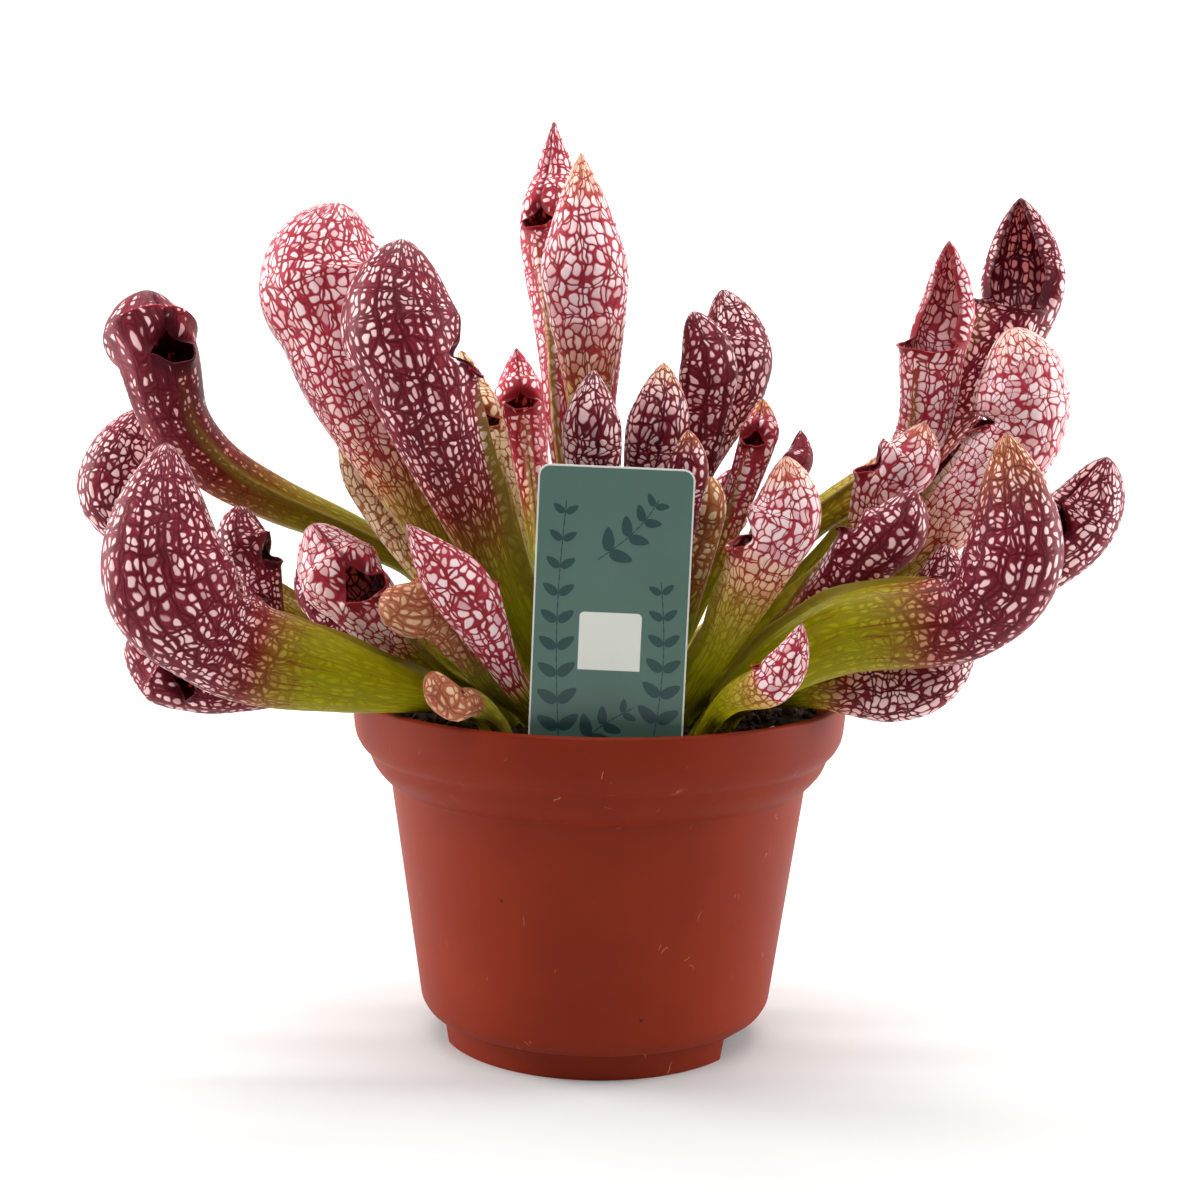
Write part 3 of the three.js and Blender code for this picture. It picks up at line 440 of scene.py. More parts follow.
def skin_grid(leaf, line, first, thin, tube_rows, lip_rows, hood_rows, phase):
    """One skin of a pitcher on two joined grids: closed rings up to the lip, with columns
    close together at the wing, then open arcs to the tip. Returns the points, the faces,
    the pattern vectors of each point, the weld of doubled points and the rim's loop."""
    lip, end, collar = line["lip"], line["end"], line["collar"]
    width, arcs = 2 * FRONT + ARC + 1, np.arange(ARC + 1)
    zone = min(LIP_ZONE, 0.3 * (lip - first))
    lower = np.linspace(first, lip - zone, tube_rows + 1)
    s = np.concatenate([lower[:-1], np.linspace(lip - zone, lip, lip_rows)])
    u = (s - collar) / (lip - collar)
    spread = smooth((u - 0.55) / 0.4)[:, None]
    gap = WING_GAP + (hood_gap(leaf, 0) - WING_GAP) * spread
    step = (np.arange(FRONT) / FRONT)[None, :] ** (2.2 - 1.2 * spread)
    even = (arcs / ARC * 2 - 1)[None, :]
    arc = (math.pi - gap) * (even + (spread_out(even) - even) * spread)
    angle = np.hstack([gap * step - math.pi, arc, (math.pi - gap * step)[:, ::-1]])
    tube = leaf_shape(leaf, line, s, angle, thin, phase)

    v = 1 - (1 - np.arange(1, hood_rows + 1) / hood_rows) ** 1.25
    above = lip + v * (end - TIP_BLADES * thin - lip)
    hood_angle = (math.pi - hood_gap(leaf, v))[:, None] * spread_out(even)
    hood = leaf_shape(leaf, line, above, hood_angle, thin, phase)
    hood[-1] = station(line, above[-1:])[0]

    rows = len(s)
    count = rows * width
    points = np.vstack([tube.reshape(-1, 3), hood.reshape(-1, 3), station(line, s[:1])[0]])
    foot, last_row = len(points) - 1, count + (hood_rows - 1) * (ARC + 1)
    weld = np.arange(len(points))
    weld[np.arange(rows) * width + width - 1] = np.arange(rows) * width
    weld[last_row + arcs] = last_row

    top_row = (rows - 1) * width + FRONT + arcs
    arc_ids = np.vstack([top_row, count + table(hood_rows, ARC + 1)])
    last = joined(arc_ids[-2, :-1], arc_ids[-2, 1:], arc_ids[-1, :-1])
    bottom = joined(foot, np.arange(1, width), np.arange(width - 1))
    quads = np.vstack([patch(table(rows, width)), patch(arc_ids[:-1])])

    # Pattern vectors: "net" is where a point lies on the flattened leaf, in mm, and "part"
    # how far the colour has changed, how high the point is and its distance from the rim.
    across = NET_WIDTH * leaf["hood"]
    pace = STALK_PACE + (1 - STALK_PACE) * smooth((u - 0.25) / 0.6)
    along = np.cumsum(np.diff(s, prepend=s[0]) * pace) + (first - line["base"]) * STALK_PACE
    along += INSIDE_START * (lip - collar) if thin else 0
    hood_along = along[-1] + (above - lip)
    green = smooth((u - leaf["green"][0]) / (leaf["green"][1] - leaf["green"][0]))
    net = [joined(angle * across, along[:, None], angle),
           joined(hood_angle * across, hood_along[:, None], hood_angle), [[0, along[0], 0]]]
    is_front = np.abs(angle) > math.pi - gap - 1e-6
    lip_away = np.where(is_front, (lip - s)[:, None], EDGE_REACH)
    side_away = math.pi - np.abs(hood_angle) - hood_gap(leaf, v)[:, None]
    side_away = side_away * leaf["hood"] * np.sqrt(1 - v**2)[:, None]
    side_away = np.minimum(side_away, (end - above)[:, None])
    part = [joined(green[:, None], u[:, None], np.clip(lip_away, 0, EDGE_REACH)),
            joined(1.0, 1 + v[:, None], np.clip(side_away, 0, EDGE_REACH)),
            [[0, 0, EDGE_REACH]]]
    net, part = (np.vstack([np.reshape(rows_of, (-1, 3)) for rows_of in x]) for x in (net, part))
    front_lip = np.concatenate([np.arange(FRONT + ARC, width), np.arange(0, FRONT + 1)])
    loop, inward = (
        np.concatenate([(rows - back) * width + front_lip, arc_ids[1:-1, back - 1], [tip],
                        arc_ids[1:-1, -back][::-1]])
        for back, tip in ((1, arc_ids[-1, 0]), (2, arc_ids[-2, ARC // 2]))
    )
    return dict(points=points, faces=[quads, np.vstack([last, bottom])], net=net, part=part,
                weld=weld, loop=loop, inward=inward)


RIM_STEPS = 3
RIM_MARK = -0.3  # the distance from the rim that the rim itself is given


def make_leaf(leaf, materials):
    """A pitcher as one closed skin: its outside, its inside one blade thickness smaller, and
    a rounded rim that joins them, on half circles across the blade's edge."""
    rng = np.random.default_rng(leaf["seed"])
    phase = rng.uniform(0, TURN, 8)
    line = spine(leaf)
    share = 0.75 if leaf["small"] else 1
    first = line["base"] - STALK_END
    floor = line["collar"] + (line["lip"] - line["collar"]) * CAVITY_FROM
    rows = [int(count * share) for count in (TUBE_ROWS, LIP_ROWS, HOOD_ROWS)]
    outer = skin_grid(leaf, line, first, 0, *rows, phase)
    inner = skin_grid(leaf, line, floor, BLADE, rows[0] // 3, rows[1], rows[2], phase)

    shift = len(outer["points"])
    n = len(outer["loop"])
    a, b = outer["points"][outer["loop"]], inner["points"][inner["loop"]]
    from_skin, from_inner = (skin["points"][skin["inward"]] for skin in (outer, inner))
    out = unit(unit(a - from_skin) + unit(b - from_inner))
    middle, half = (a + b) / 2, (a - b) / 2
    out = square_to(out, unit(half))
    turn = np.arange(1, RIM_STEPS + 1)[:, None, None] / (RIM_STEPS + 1) * math.pi
    reach = np.linalg.norm(half, axis=-1, keepdims=True)
    rim = middle + half * np.cos(turn) + out * reach * np.sin(turn)

    points = np.vstack([outer["points"], inner["points"], rim.reshape(-1, 3)])
    base = shift + len(inner["points"])
    steps = base + table(RIM_STEPS, n)
    ids = np.vstack([outer["loop"], steps, shift + inner["loop"]])
    # The two points of a loop on the wing's line, at FRONT, are one.
    rim_quads = np.delete(rings_patch(ids).reshape(-1, n, 4), FRONT, axis=1).reshape(-1, 4)
    weld = np.concatenate([outer["weld"], shift + inner["weld"], steps.ravel()])
    weld[steps[:, FRONT + 1]] = steps[:, FRONT]

    rim_net = np.tile(outer["net"][outer["loop"]], (RIM_STEPS, 1))
    rim_part = np.tile(outer["part"][outer["loop"]], (RIM_STEPS, 1))
    rim_part[:, 2] = RIM_MARK
    net = np.vstack([outer["net"], inner["net"], rim_net]) * [leaf["grain"], leaf["grain"], 1]
    net += [*rng.uniform(0, 300, 2), 0]
    part = np.vstack([outer["part"], inner["part"], rim_part])
    outer_quads, outer_tris = outer["faces"]
    inner_quads, inner_tris = (shift + f[:, ::-1] for f in inner["faces"])
    quads = np.vstack([outer_quads, inner_quads, rim_quads])
    tris = np.vstack([outer_tris, inner_tris])
    kinds = np.concatenate([
        np.zeros(len(outer_quads)), np.ones(len(inner_quads)), np.zeros(len(rim_quads)),
        np.zeros(len(outer_tris)), np.ones(len(inner_tris)),
    ])
    used, place = np.unique(weld, return_inverse=True)
    faces = [place[quads], place[tris]]
    if volume(points[used], faces) < 0:
        quads, tris = quads[:, ::-1], tris[:, ::-1]
        faces = [place[quads], place[tris]]
    corner = np.concatenate([quads.ravel(), tris.ravel()])
    look = np.array([leaf["windows"], leaf["depth"], leaf["warm"]])
    corners = dict(net=net[corner], part=part[corner], look=np.tile(look, (len(corner), 1)))
    mesh = make_mesh("leaf_" + leaf["name"], points[used], faces, corners, kinds)
    piece(mesh, materials, ["pitcher_" + leaf["name"]])


# ---- Finishes ----


def leaf_material(name, window, tissue, vein, cells, inside=False):
    """The blade of a living pitcher leaf, with a net of sunken veins round pale windows.

    A leaf's skin is a thin cuticle over soft tissue: a satin gloss, and colour that goes
    from green at the stalk to the hood's own. Its main veins part groups of windows, and
    fine ones part the windows, which are rounded and stand a little proud. `cells` are the
    widths and lengths of the groups and of the windows, in mm.
    """
    material, node = new_material(name)
    net, part, look = (node("Attribute", attribute_name=key)["Vector"]
                       for key in ("net", "part", "look"))
    colour_way, height, rim = node("SeparateXYZ", part)
    windows, depth, warm = node("SeparateXYZ", look)
    group_width, group_length, window_width, window_length = cells
    # A slow waver, over 5 mm and up to 2 mm each way, makes the cells' outlines irregular.
    waver = node("VectorMath SUBTRACT", node("TexNoise", net, 0.2, 2)["Color"], (0.5, 0.5, 0.5))
    bent = node("VectorMath ADD", net, node("VectorMath SCALE", waver, 3.8))
    main = node("VectorMath MULTIPLY", bent, (1 / group_width, 1 / group_length, 0))
    fine = node("VectorMath MULTIPLY", bent, (1 / window_width, 1 / window_length, 0))
    main_edge = node("TexVoronoi DISTANCE_TO_EDGE", main, 1, named={"Randomness": 0.75},
                     voronoi_dimensions="2D")
    main_edge = node("Math MULTIPLY", main_edge, group_width)
    # Long veins run side by side up the blade and meet at the tip.
    long_edge = node("Math PINGPONG", node("SeparateXYZ", bent)[0], group_width * 0.36)
    main_edge = node("Math SMOOTH_MIN", main_edge, long_edge, 0.3)
    # The second nearest point less the nearest gives each window a rounded outline.
    first, second = (
        node("TexVoronoi " + order, fine, 1, named={"Randomness": 0.78}, voronoi_dimensions="2D")
        for order in ("F1", "F2")
    )
    fine_edge = node("Math MULTIPLY", node("Math SUBTRACT", second, first), window_width / 2)
    chance = node("SeparateColor", first["Color"])
    # No window reaches further from its middle than this, so each one has round corners.
    reach = node("MapRange", windows, 0, 1, window_width * 0.16, window_width * 0.55)
    reach = node("Math MULTIPLY_ADD", chance[0], window_width * 0.3, reach)
    blob = node("Math MULTIPLY_ADD", first, -window_width, reach)

    # Tissue beside the main veins stays coloured, the more so on a leaf with few windows.
    closed = node("Math SUBTRACT", 1, windows)
    from_main = node("Math SUBTRACT", main_edge, node("MapRange", closed, 0, 1, -0.1, 0.95))
    both = node("Math SMOOTH_MIN", fine_edge, blob, 0.4)
    both = node("Math SMOOTH_MIN", from_main, both, 0.4)
    slim = node("MapRange", closed, 0, 1, 0.05, 0.25)
    # Round the mouth, up to 4.5 mm from the rim, the windows close and the blade is crimson.
    crimson = node("MapRange SMOOTHSTEP", rim, 0.5, 4.5, 1, 0)
    at_mouth = node("MapRange SMOOTHSTEP", height, 1.15, 1.4, 1, 0)
    crimson = node("Math MULTIPLY", crimson, at_mouth)
    slim = node("Math MULTIPLY_ADD", crimson, 0.25, slim)
    window_here = node("MapRange SMOOTHSTEP", both, slim, node("Math ADD", slim, 0.22))

    window_colour, tissue_colour, vein_colour = (
        node("ValToRGB", colour_way, stops=zip(COLOUR_STEPS, colours.split()))
        for colours in (window, tissue, vein)
    )
    # Darker patches are about 11 mm across.
    patches = node("MapRange", node("TexNoise", net, 0.09, 3), 0.35, 0.65, 0, 0.7)
    deeper = node("Math MAXIMUM", node("Math MULTIPLY", patches, depth), crimson)
    tissue_colour = node("Mix RGBA", deeper, tissue_colour, vein_colour)
    warm_here = node("MapRange SMOOTHSTEP", height, 1.55, 2)
    warm_here = node("Math MULTIPLY", warm_here, warm)
    tissue_colour = node("Mix RGBA", warm_here, tissue_colour, "#d08a48")
    window_colour = node("Mix RGBA", warm_here, window_colour, "#f0c088")
    # Some windows are thicker and take on the tissue's colour.
    thick = node("MapRange", chance[1], 0.5, 1, 0, 0.5)
    window_colour = node("Mix RGBA", thick, window_colour, tissue_colour)
    thin_core = node("MapRange", fine_edge, 0.03, 0.2, 0.55, 0)
    core = node("MapRange", main_edge, 0.08, 0.4, 0.8, 0)
    core = node("Math MAXIMUM", core, thin_core)
    at_rim = node("MapRange", rim, 0, 0.6, 0.85, 0)
    # Thin red lines, 2 mm apart, run up the green stalk, where the net is faint.
    streak = node("TexNoise", node("VectorMath MULTIPLY", net, (0.5, 0.03, 0)), 1, 1)
    streak = node("Math ABSOLUTE", node("Math SUBTRACT", streak, 0.5))
    streak = node("MapRange", streak, 0.004, 0.022, 0.75, 0)
    stalk = node("MapRange", colour_way, 0.2, 0.7, 1, 0)
    streak = node("Math MULTIPLY", streak, stalk)
    streak = node("Math MULTIPLY", streak, node("MapRange", height, 0.2, 0.7))
    # The wing down the front of the tube stays olive.
    across = node("Math ABSOLUTE", node("SeparateXYZ", net)[2])
    wing = node("MapRange", across, math.pi - 0.3, math.pi - 0.1, 0, 0.75)
    wing = node("Math MULTIPLY", wing, node("MapRange", height, 0.75, 1, 1, 0))
    blade = tissue_colour
    for share, colour in (
        (core, vein_colour), (window_here, window_colour), (at_rim, vein_colour),
        (streak, "#7a3016"), (wing, "#7c6c22"),
    ):
        blade = node("Mix RGBA", share, blade, colour)
    if inside:
        # Painted shade: further down inside the tube, below the lip, the blade is mixed towards a
        # deep crimson that stands in for the shade in there.
        painted_shade_deep_inside = node("MapRange", height, 0.7, 1.3, 0.12, 0.92)
        blade = node("Mix RGBA", painted_shade_deep_inside, "#6a1226", blade)

    proud = node("MapRange SMOOTHSTEP", both, 0, 0.6)
    proud = node("Math MULTIPLY_ADD", node("TexNoise", net, 3, 3), 0.2, proud)
    bump = node("Bump", 1, 0.12 * MM, named={"Height": proud})
    gloss = node("MapRange", window_here, 0, 1, 0.44, 0.36)
    shader = node("BsdfPrincipled", blade, named={
        "Roughness": gloss, "Normal": bump, "IOR": 1.42, "Specular IOR Level": 0.12,
        "Subsurface Weight": 0.55, "Subsurface Scale": MM, "Subsurface Radius": (1.6, 0.9, 0.8),
    })
    node("OutputMaterial", shader)
    return material


# The steps of the colour from the green stalk to the hood, and each skin's colours on them.
COLOUR_STEPS = (0, 0.35, 0.65, 1)
LEAF_COLOURS = dict(
    light=dict(
        window="#a8a010 #c4ac48 #ecbf98 #fadadb",
        tissue="#989204 #a48c2c #aa4c36 #b43c4e",
        vein="#8c8404 #8c5424 #862a20 #86202a",
        cells=(6.8, 6.6, 2.2, 2.6),
    ),
    dark=dict(
        window="#a09a0c #ac943c #d49484 #f8d0d0",
        tissue="#908a04 #8e6c20 #862c24 #882a38",
        vein="#847c04 #743c18 #500e0c #480a16",
        cells=(6.6, 6.2, 2.0, 2.3),
    ),
    olive=dict(
        window="#a4ac1c #b8aa44 #ccb06c #ecd8b4",
        tissue="#98a414 #a49030 #aa7c3c #b0784a",
        vein="#94902a #90602a #8c4c28 #8a4226",
        cells=(7.2, 6.4, 2.4, 2.8),
    ),
    tan=dict(
        window="#b0a838 #c0a858 #d4b080 #e2ba98",
        tissue="#a09a2c #b08c4c #b87c58 #bc7c58",
        vein="#927c2c #90582e #88402e #8c3c2c",
        cells=(7.0, 6.0, 2.3, 2.6),
    ),
)


# ---- The pitchers, with the places and sizes of the part's source ----
#
# `green` is where up the tube the stalk's green starts and ends to turn, `windows` how open
# the net is, `depth` how dark, `warm` how orange towards the tip, and `grain` how fine. The
# cheeks and a few mouths differ a little from the source's.

LEAVES = []


def leaf(name, base, mouth, tip, throat, hood, faces, **more):
    """Adds one pitcher to the plant."""
    kind = SMALL if more.get("small") else {}
    size = dict(name=name, base=base, mouth=mouth, tip=tip, throat=throat, hood=hood, faces=faces)
    made = {**USUAL, **kind, **size, **more, "seed": 100 + len(LEAVES)}
    made["ribs"] = 9 + len(LEAVES) % 4
    LEAVES.append(made)


leaf("left_01", (-25, 8), (-123, -14, 193), (-127, -8, 211.5), 10.5, 13, -50,
     bends=[(-54, 17.5, 132), (-66, 18, 139), (-78, 16, 145), (-95, 9, 153), (-109, 1, 162),
     (-119.5, -8, 176)], open=36, close=0.15, point=0.2, swell=1.5, belly=0, wing=1.2,
     skin="dark", green=(0.45, 0.95), windows=0.4, depth=0.85)
leaf("left_02", (-30, 15), (-135, 20, 143), (-134.5, 24, 178), 9, 12.2, 10,
     bends=[(-92, 18, 117)], point=0.2, bulge=0.25, skin="dark", windows=0.75)
leaf("left_03", (-28, -36), (-99, -54, 121), (-112, -54, 172), 13.2, 17, 40,
     bends=[(-68, -49, 111)], open=35, point=0.35, bulge=0.22, swell=1.3, skin="dark",
     green=(0.62, 1.02), depth=0.4)
leaf("left_04", (-35, -14), (-110, -27, 104), (-130, -24, 116), 7, 10, -60,
     bends=[(-68, -26, 106)], open=50, point=0.1, swell=1.5, skin="dark")
leaf("left_05", (-30, -5), (-95, -20, 137), (-100, -18, 153), 5.4, 7.5, -10,
     bends=[(-89, -20, 118)], open=50, point=0.1, belly=0, small=True, skin="dark", depth=0.8)
leaf("left_06", (-24, -22), (-65, -33, 130), (-79, -27, 149), 9, 11.4, -60, open=45, point=0.2,
     windows=0.95)
leaf("left_07", (-34, 2), (-80, 4, 121), (-86, 8, 137), 4.2, 5, -30, small=True, skin="dark")
leaf("left_08", (-17, -30), (-44, -44, 128), (-58, -46, 132), 7, 7.6, 60, point=0, small=True,
     skin="tan")
leaf("left_09", (-12, -38), (-34, -58, 133), (-50, -60, 153), 7.6, 8, 60, point=0.8, bulge=0.02,
     green=(0.1, 0.5), windows=0.78, depth=0.6)
leaf("left_10", (-15, -5), (-60, 5, 154), (-70.5, 10, 180), 10.2, 11, 80, point=0.4, skin="olive",
     windows=0.9)
leaf("left_11", (-14, -17), (-72, -15, 200), (-73.5, -9, 236), 15.6, 19.5, -10, point=0.15,
     belly=0.6, wing=4, green=(0.3, 0.9), windows=0.82, depth=0.15)
leaf("left_12", (-8, -27), (-49, -45, 190), (-53, -41, 225), 13, 16.2, 0, open=34, close=0.16,
     point=0.25, bulge=0.08, cheek=0.02, wing=5, skin="dark", green=(0.3, 0.85), depth=0.7)
leaf("left_13", (-24, 20), (-48, 24, 140), (-54, 27, 155), 4.8, 5.4, -60, small=True, skin="dark")
leaf("left_14", (-24, -47), (-37, -66, 107), (-43, -69, 116), 3.8, 4.2, 60,
     bends=[(-33, -59, 106)], open=50, point=0, small=True, skin="tan", green=(0.5, 0.6))
leaf("middle_01", (-9, 8), (-35, 24, 173), (-43, 34, 196), 5.8, 6.8, -70, open=40, close=0.14,
     skin="olive", windows=1)
leaf("middle_02", (-11, 19), (-25, 40, 178), (-27, 48, 197), 7.5, 8, -85, open=40, close=0.14,
     point=0.7, windows=0.7, depth=0.2)
leaf("middle_03", (-1, 6), (-18, 40, 232), (-16.5, 50, 265), 7.6, 9, -110,
     bends=[(-12, 22, 173), (-14, 31, 198)], open=40, close=0.14, point=0.8, green=(0.2, 0.6),
     windows=0.75, depth=0.3)
leaf("middle_04", (-2, -9), (-5, -8, 204), (-7.5, -4, 251), 10, 13.4, 85, point=0.75, bulge=0.05,
     swell=3.6, belly=0, wing=4, green=(0.5, 1.1), windows=0.9, depth=0.35, warm=0.6, grain=0.75)
leaf("middle_05", (3, 16), (0, 28, 197), (1, 35, 222), 4.8, 5.4, -95, bends=[(-2, 20, 150)],
     point=0.6, small=True)
leaf("middle_06", (0, -20), (-3, -33, 171), (-3, -33, 192), 7.7, 8, 85, point=0.6, skin="dark",
     windows=0.8, depth=0.7)
leaf("middle_07", (8, -14), (14, -22, 171), (16, -22, 194), 8.2, 8.6, 100, point=0.5, skin="dark",
     windows=0.8, depth=0.3, warm=0.6)
leaf("middle_08", (10, -4), (28, -8, 183), (24, -9, 208), 7.4, 8, 150, point=0.2, skin="dark",
     depth=0.8)
leaf("middle_09", (10, 10), (37, 18, 187), (34, 25, 215), 9.6, 10.8, -140, bends=[(25, 12, 160)],
     open=50, belly=0, skin="dark", windows=0.75)
leaf("middle_10", (9, -29), (21, -45, 161), (22, -47, 177), 5.5, 5.8, 110, point=0.4, small=True,
     skin="dark", warm=0.4)
leaf("middle_11", (14, 2), (43, -4, 171), (45, 1, 184), 4.8, 5.5, -110, open=46, point=0.5,
     small=True, windows=0.7, warm=1)
leaf("middle_12", (20, 14), (56, 28, 161), (59, 33, 174), 4.2, 4.6, -150, point=0.5, small=True,
     skin="dark", windows=0.4)
leaf("middle_13", (15, -21), (28, -30, 151), (29, -31, 164), 4.3, 4.6, 100, point=0.1, small=True,
     skin="olive")
leaf("right_01", (18, -34), (43, -51, 146), (47, -52, 171), 8.4, 9.8, 180, point=0.35,
     green=(0.35, 1.25), windows=0.95, depth=0.1, warm=0.5)
leaf("right_02", (26, -8), (78, -22, 163), (87, -23, 179), 7.4, 8.6, 180,
     bends=[(52, -17, 124), (72, -20, 144)], point=0.35, cheek=0.16, belly=0, green=(0.45, 1.05),
     windows=0.9, warm=0.5)
leaf("right_03", (22, -16), (72, -39, 146), (82, -41, 162), 8.4, 8.8, 150, skin="dark")
leaf("right_04", (20, -4), (92, -4, 199), (96, 2, 229), 8.6, 9.4, -125,
     bends=[(57, -3, 147), (87.5, -3, 171.5)], open=74, shut=0.2, close=0.8, point=0.6, swell=1.9,
     belly=0.1, wing=2, green=(0.45, 0.85), windows=0.85, depth=0.2)
leaf("right_05", (23, 7), (119, 22, 210), (121, 29, 243), 11.5, 13, -130, open=74, shut=0.25,
     close=0.8, point=0.45, skin="dark", windows=0.75)
leaf("right_06", (30, 0), (115, -12, 175), (112, -12, 205), 11.5, 12.8, 180, open=38, close=0.16,
     point=0.12, bulge=0.07, cheek=0.12, windows=1.15, depth=0.05, warm=0.3)
leaf("right_07", (27, -33), (95, -57, 131), (102, -59, 178), 10.6, 13, 145,
     bends=[(63, -50, 124)], open=35, point=0.35, bulge=0.23, swell=0.6, belly=0.25, wing=4,
     skin="dark", green=(0.6, 1.05), depth=0.4, warm=0.5)
leaf("right_08", (32, 9), (132, 6, 144.5), (143.5, 2, 169), 10.6, 11, -150, open=45, close=0.3,
     skin="dark", windows=0.75)
leaf("right_09", (36, -13), (89, -20, 126), (95, -20, 146), 6, 8, 160, small=True, skin="dark",
     windows=0.7)
leaf("right_10", (34, -22), (79, -36, 107), (101, -33, 118.5), 7.8, 8.3, 130,
     bends=[(57, -34, 107.5)], point=0.4, swell=1.4, skin="dark", green=(0.4, 0.9), windows=0.85)
leaf("right_11", (26, -47), (43, -72, 115), (50, -76, 131), 5.2, 5.6, 130, bends=[(34, -60, 108)],
     point=0.6, small=True, green=(0.3, 1.6), windows=0.9)
leaf("right_12", (29, 16), (104, 26, 163), (109, 30, 182), 6.5, 7.4, -160, small=True,
     skin="dark")
leaf("back_01", (-17, 27), (-36, 62, 140), (-42, 72, 157), 7.5, 8.6, -60, windows=0.8)
leaf("back_02", (2, 31), (3, 66, 128), (4, 76, 141), 8, 9, -90, small=True, skin="dark")
leaf("back_03", (11, 24), (36, 60, 143), (42, 70, 160), 7.5, 8.6, -120, skin="dark")
leaf("back_04", (-30, 28), (-80, 52, 127), (-92, 60, 140), 7.4, 8.4, -30, small=True, windows=0.8)
leaf("back_05", (26, 25), (82, 54, 130), (94, 62, 144), 7.4, 8.4, -150, small=True, skin="olive")
leaf("back_06", (-19, 36), (-46, 68, 110), (-56, 76, 119), 6, 6.8, -60, bends=[(-33, 55, 107)],
     small=True, skin="olive")
leaf("back_07", (18, 36), (44, 70, 111), (54, 78, 120), 6, 6.8, -120, bends=[(32, 56, 107)],
     small=True, windows=0.8)

LEAF_MATERIALS = {
    skin: [
        leaf_material(f"pitcher leaf, {skin}", **colours),
        leaf_material(f"pitcher leaf, {skin}, inside", **colours, inside=True),
    ]
    for skin, colours in LEAF_COLOURS.items()
}
for made in LEAVES:
    make_leaf(made, LEAF_MATERIALS[made["skin"]])

# ---- The pot ----


def rounded(corners, steps=5):
    """An outline through [r, z, rounding] corners, each cut by a quadratic curve that starts
    and ends the rounding's length away from it along the sides."""
    corners = np.array(corners, float)
    here, cut = corners[:, :2], corners[:, 2:]
    back, on = np.roll(here, 1, axis=0) - here, np.roll(here, -1, axis=0) - here
    before = here + unit(back) * np.minimum(cut, 0.48 * np.linalg.norm(back, axis=1)[:, None])
    after = here + unit(on) * np.minimum(cut, 0.48 * np.linalg.norm(on, axis=1)[:, None])
    t = np.linspace(0, 1, steps)[None, :, None]
    before, here, after = before[:, None], here[:, None], after[:, None]
    curve = (1 - t) ** 2 * before + 2 * t * (1 - t) * here + t**2 * after
    return curve.reshape(-1, 2)


def turned(outline, columns):
    """A closed outline of [r, z] turned about the upright axis, as points and faces."""
    points = polar(outline[:, :1], around(columns), outline[:, 1:]).reshape(-1, 3)
    return outward(points, rings_patch(table(len(outline), columns), again=1))


POT_RIM, POT_TOP = 70.6, 100
POT_OUTSIDE = [
    (50.6, 11, 1.2), (59.6, 74.8, 0.6), (61.6, 76.2, 1.2), (64.6, 79.8, 2), (65.9, 83.6, 0.5),
    (67.9, 85.4, 1), (69.7, 88.6, 2), (70.2, 93, 1.5),
    (POT_RIM, POT_TOP - 0.6, 0.5), (POT_RIM - 0.5, POT_TOP, 0.3),
]


def pot_outline():
    """The pot's wall, foot and floor in section, as corners with their rounding."""
    foot = [
        (FOOT_RADIUS - FOOT_THICKNESS, FLOOR_TOP - POT_WALL, 0.3),
        (FOOT_RADIUS - FOOT_THICKNESS, 0, 0.3), (FOOT_RADIUS, 0, 0.4),
        (FOOT_RADIUS + 1.2, FOOT_HEIGHT, 0.4), (FOOT_RADIUS + 4.4, FOOT_HEIGHT + 0.9, 0.5),
    ]
    inside = [(r - POT_WALL, z, cut) for r, z, cut in POT_OUTSIDE[:-2]]
    top = [(POT_RIM - POT_WALL, POT_TOP, 0.3)]
    middle = [(FOOT_RADIUS + 1, FLOOR_TOP, 0.6), (0.4, FLOOR_TOP, 0.05)]
    return [(0.4, FLOOR_TOP - POT_WALL, 0.05), *foot, *POT_OUTSIDE, *top, *inside[::-1], *middle]


def outward(points, quads):
    """The points, and the quads turned so that they face outwards."""
    return points, [quads if volume(points, [quads]) > 0 else quads[:, ::-1]]


def block(low, high, turned_by):
    """An eight-cornered block with these limits, turned about the upright axis."""
    corner = np.stack(np.meshgrid([0, 1], [0, 1], [0, 1], indexing="ij"), -1).reshape(-1, 3)
    corner = corner * (np.array(high) - low) + low
    c, s = math.cos(turned_by), math.sin(turned_by)
    quads = [[0, 1, 3, 2], [4, 6, 7, 5], [0, 4, 5, 1], [2, 3, 7, 6], [0, 2, 6, 4], [1, 5, 7, 3]]
    return outward(corner @ np.array([[c, s, 0], [-s, c, 0], [0, 0, 1]]), np.array(quads))


def cut_away(mesh, tools):
    """The mesh without what the tools' closed shapes take out of it."""
    body = placed("body", mesh)
    made = [body]
    for points, faces in tools:
        made.append(placed("tool", make_mesh("tool", points, faces)))
        cut = body.modifiers.new("cut", "BOOLEAN")
        cut.operation, cut.solver, cut.object = "DIFFERENCE", "EXACT", made[-1]
    whole = body.evaluated_get(bpy.context.evaluated_depsgraph_get())
    result = bpy.data.meshes.new_from_object(whole)
    for thing in made:
        bpy.data.objects.remove(thing)
    result.name = mesh.name
    return result


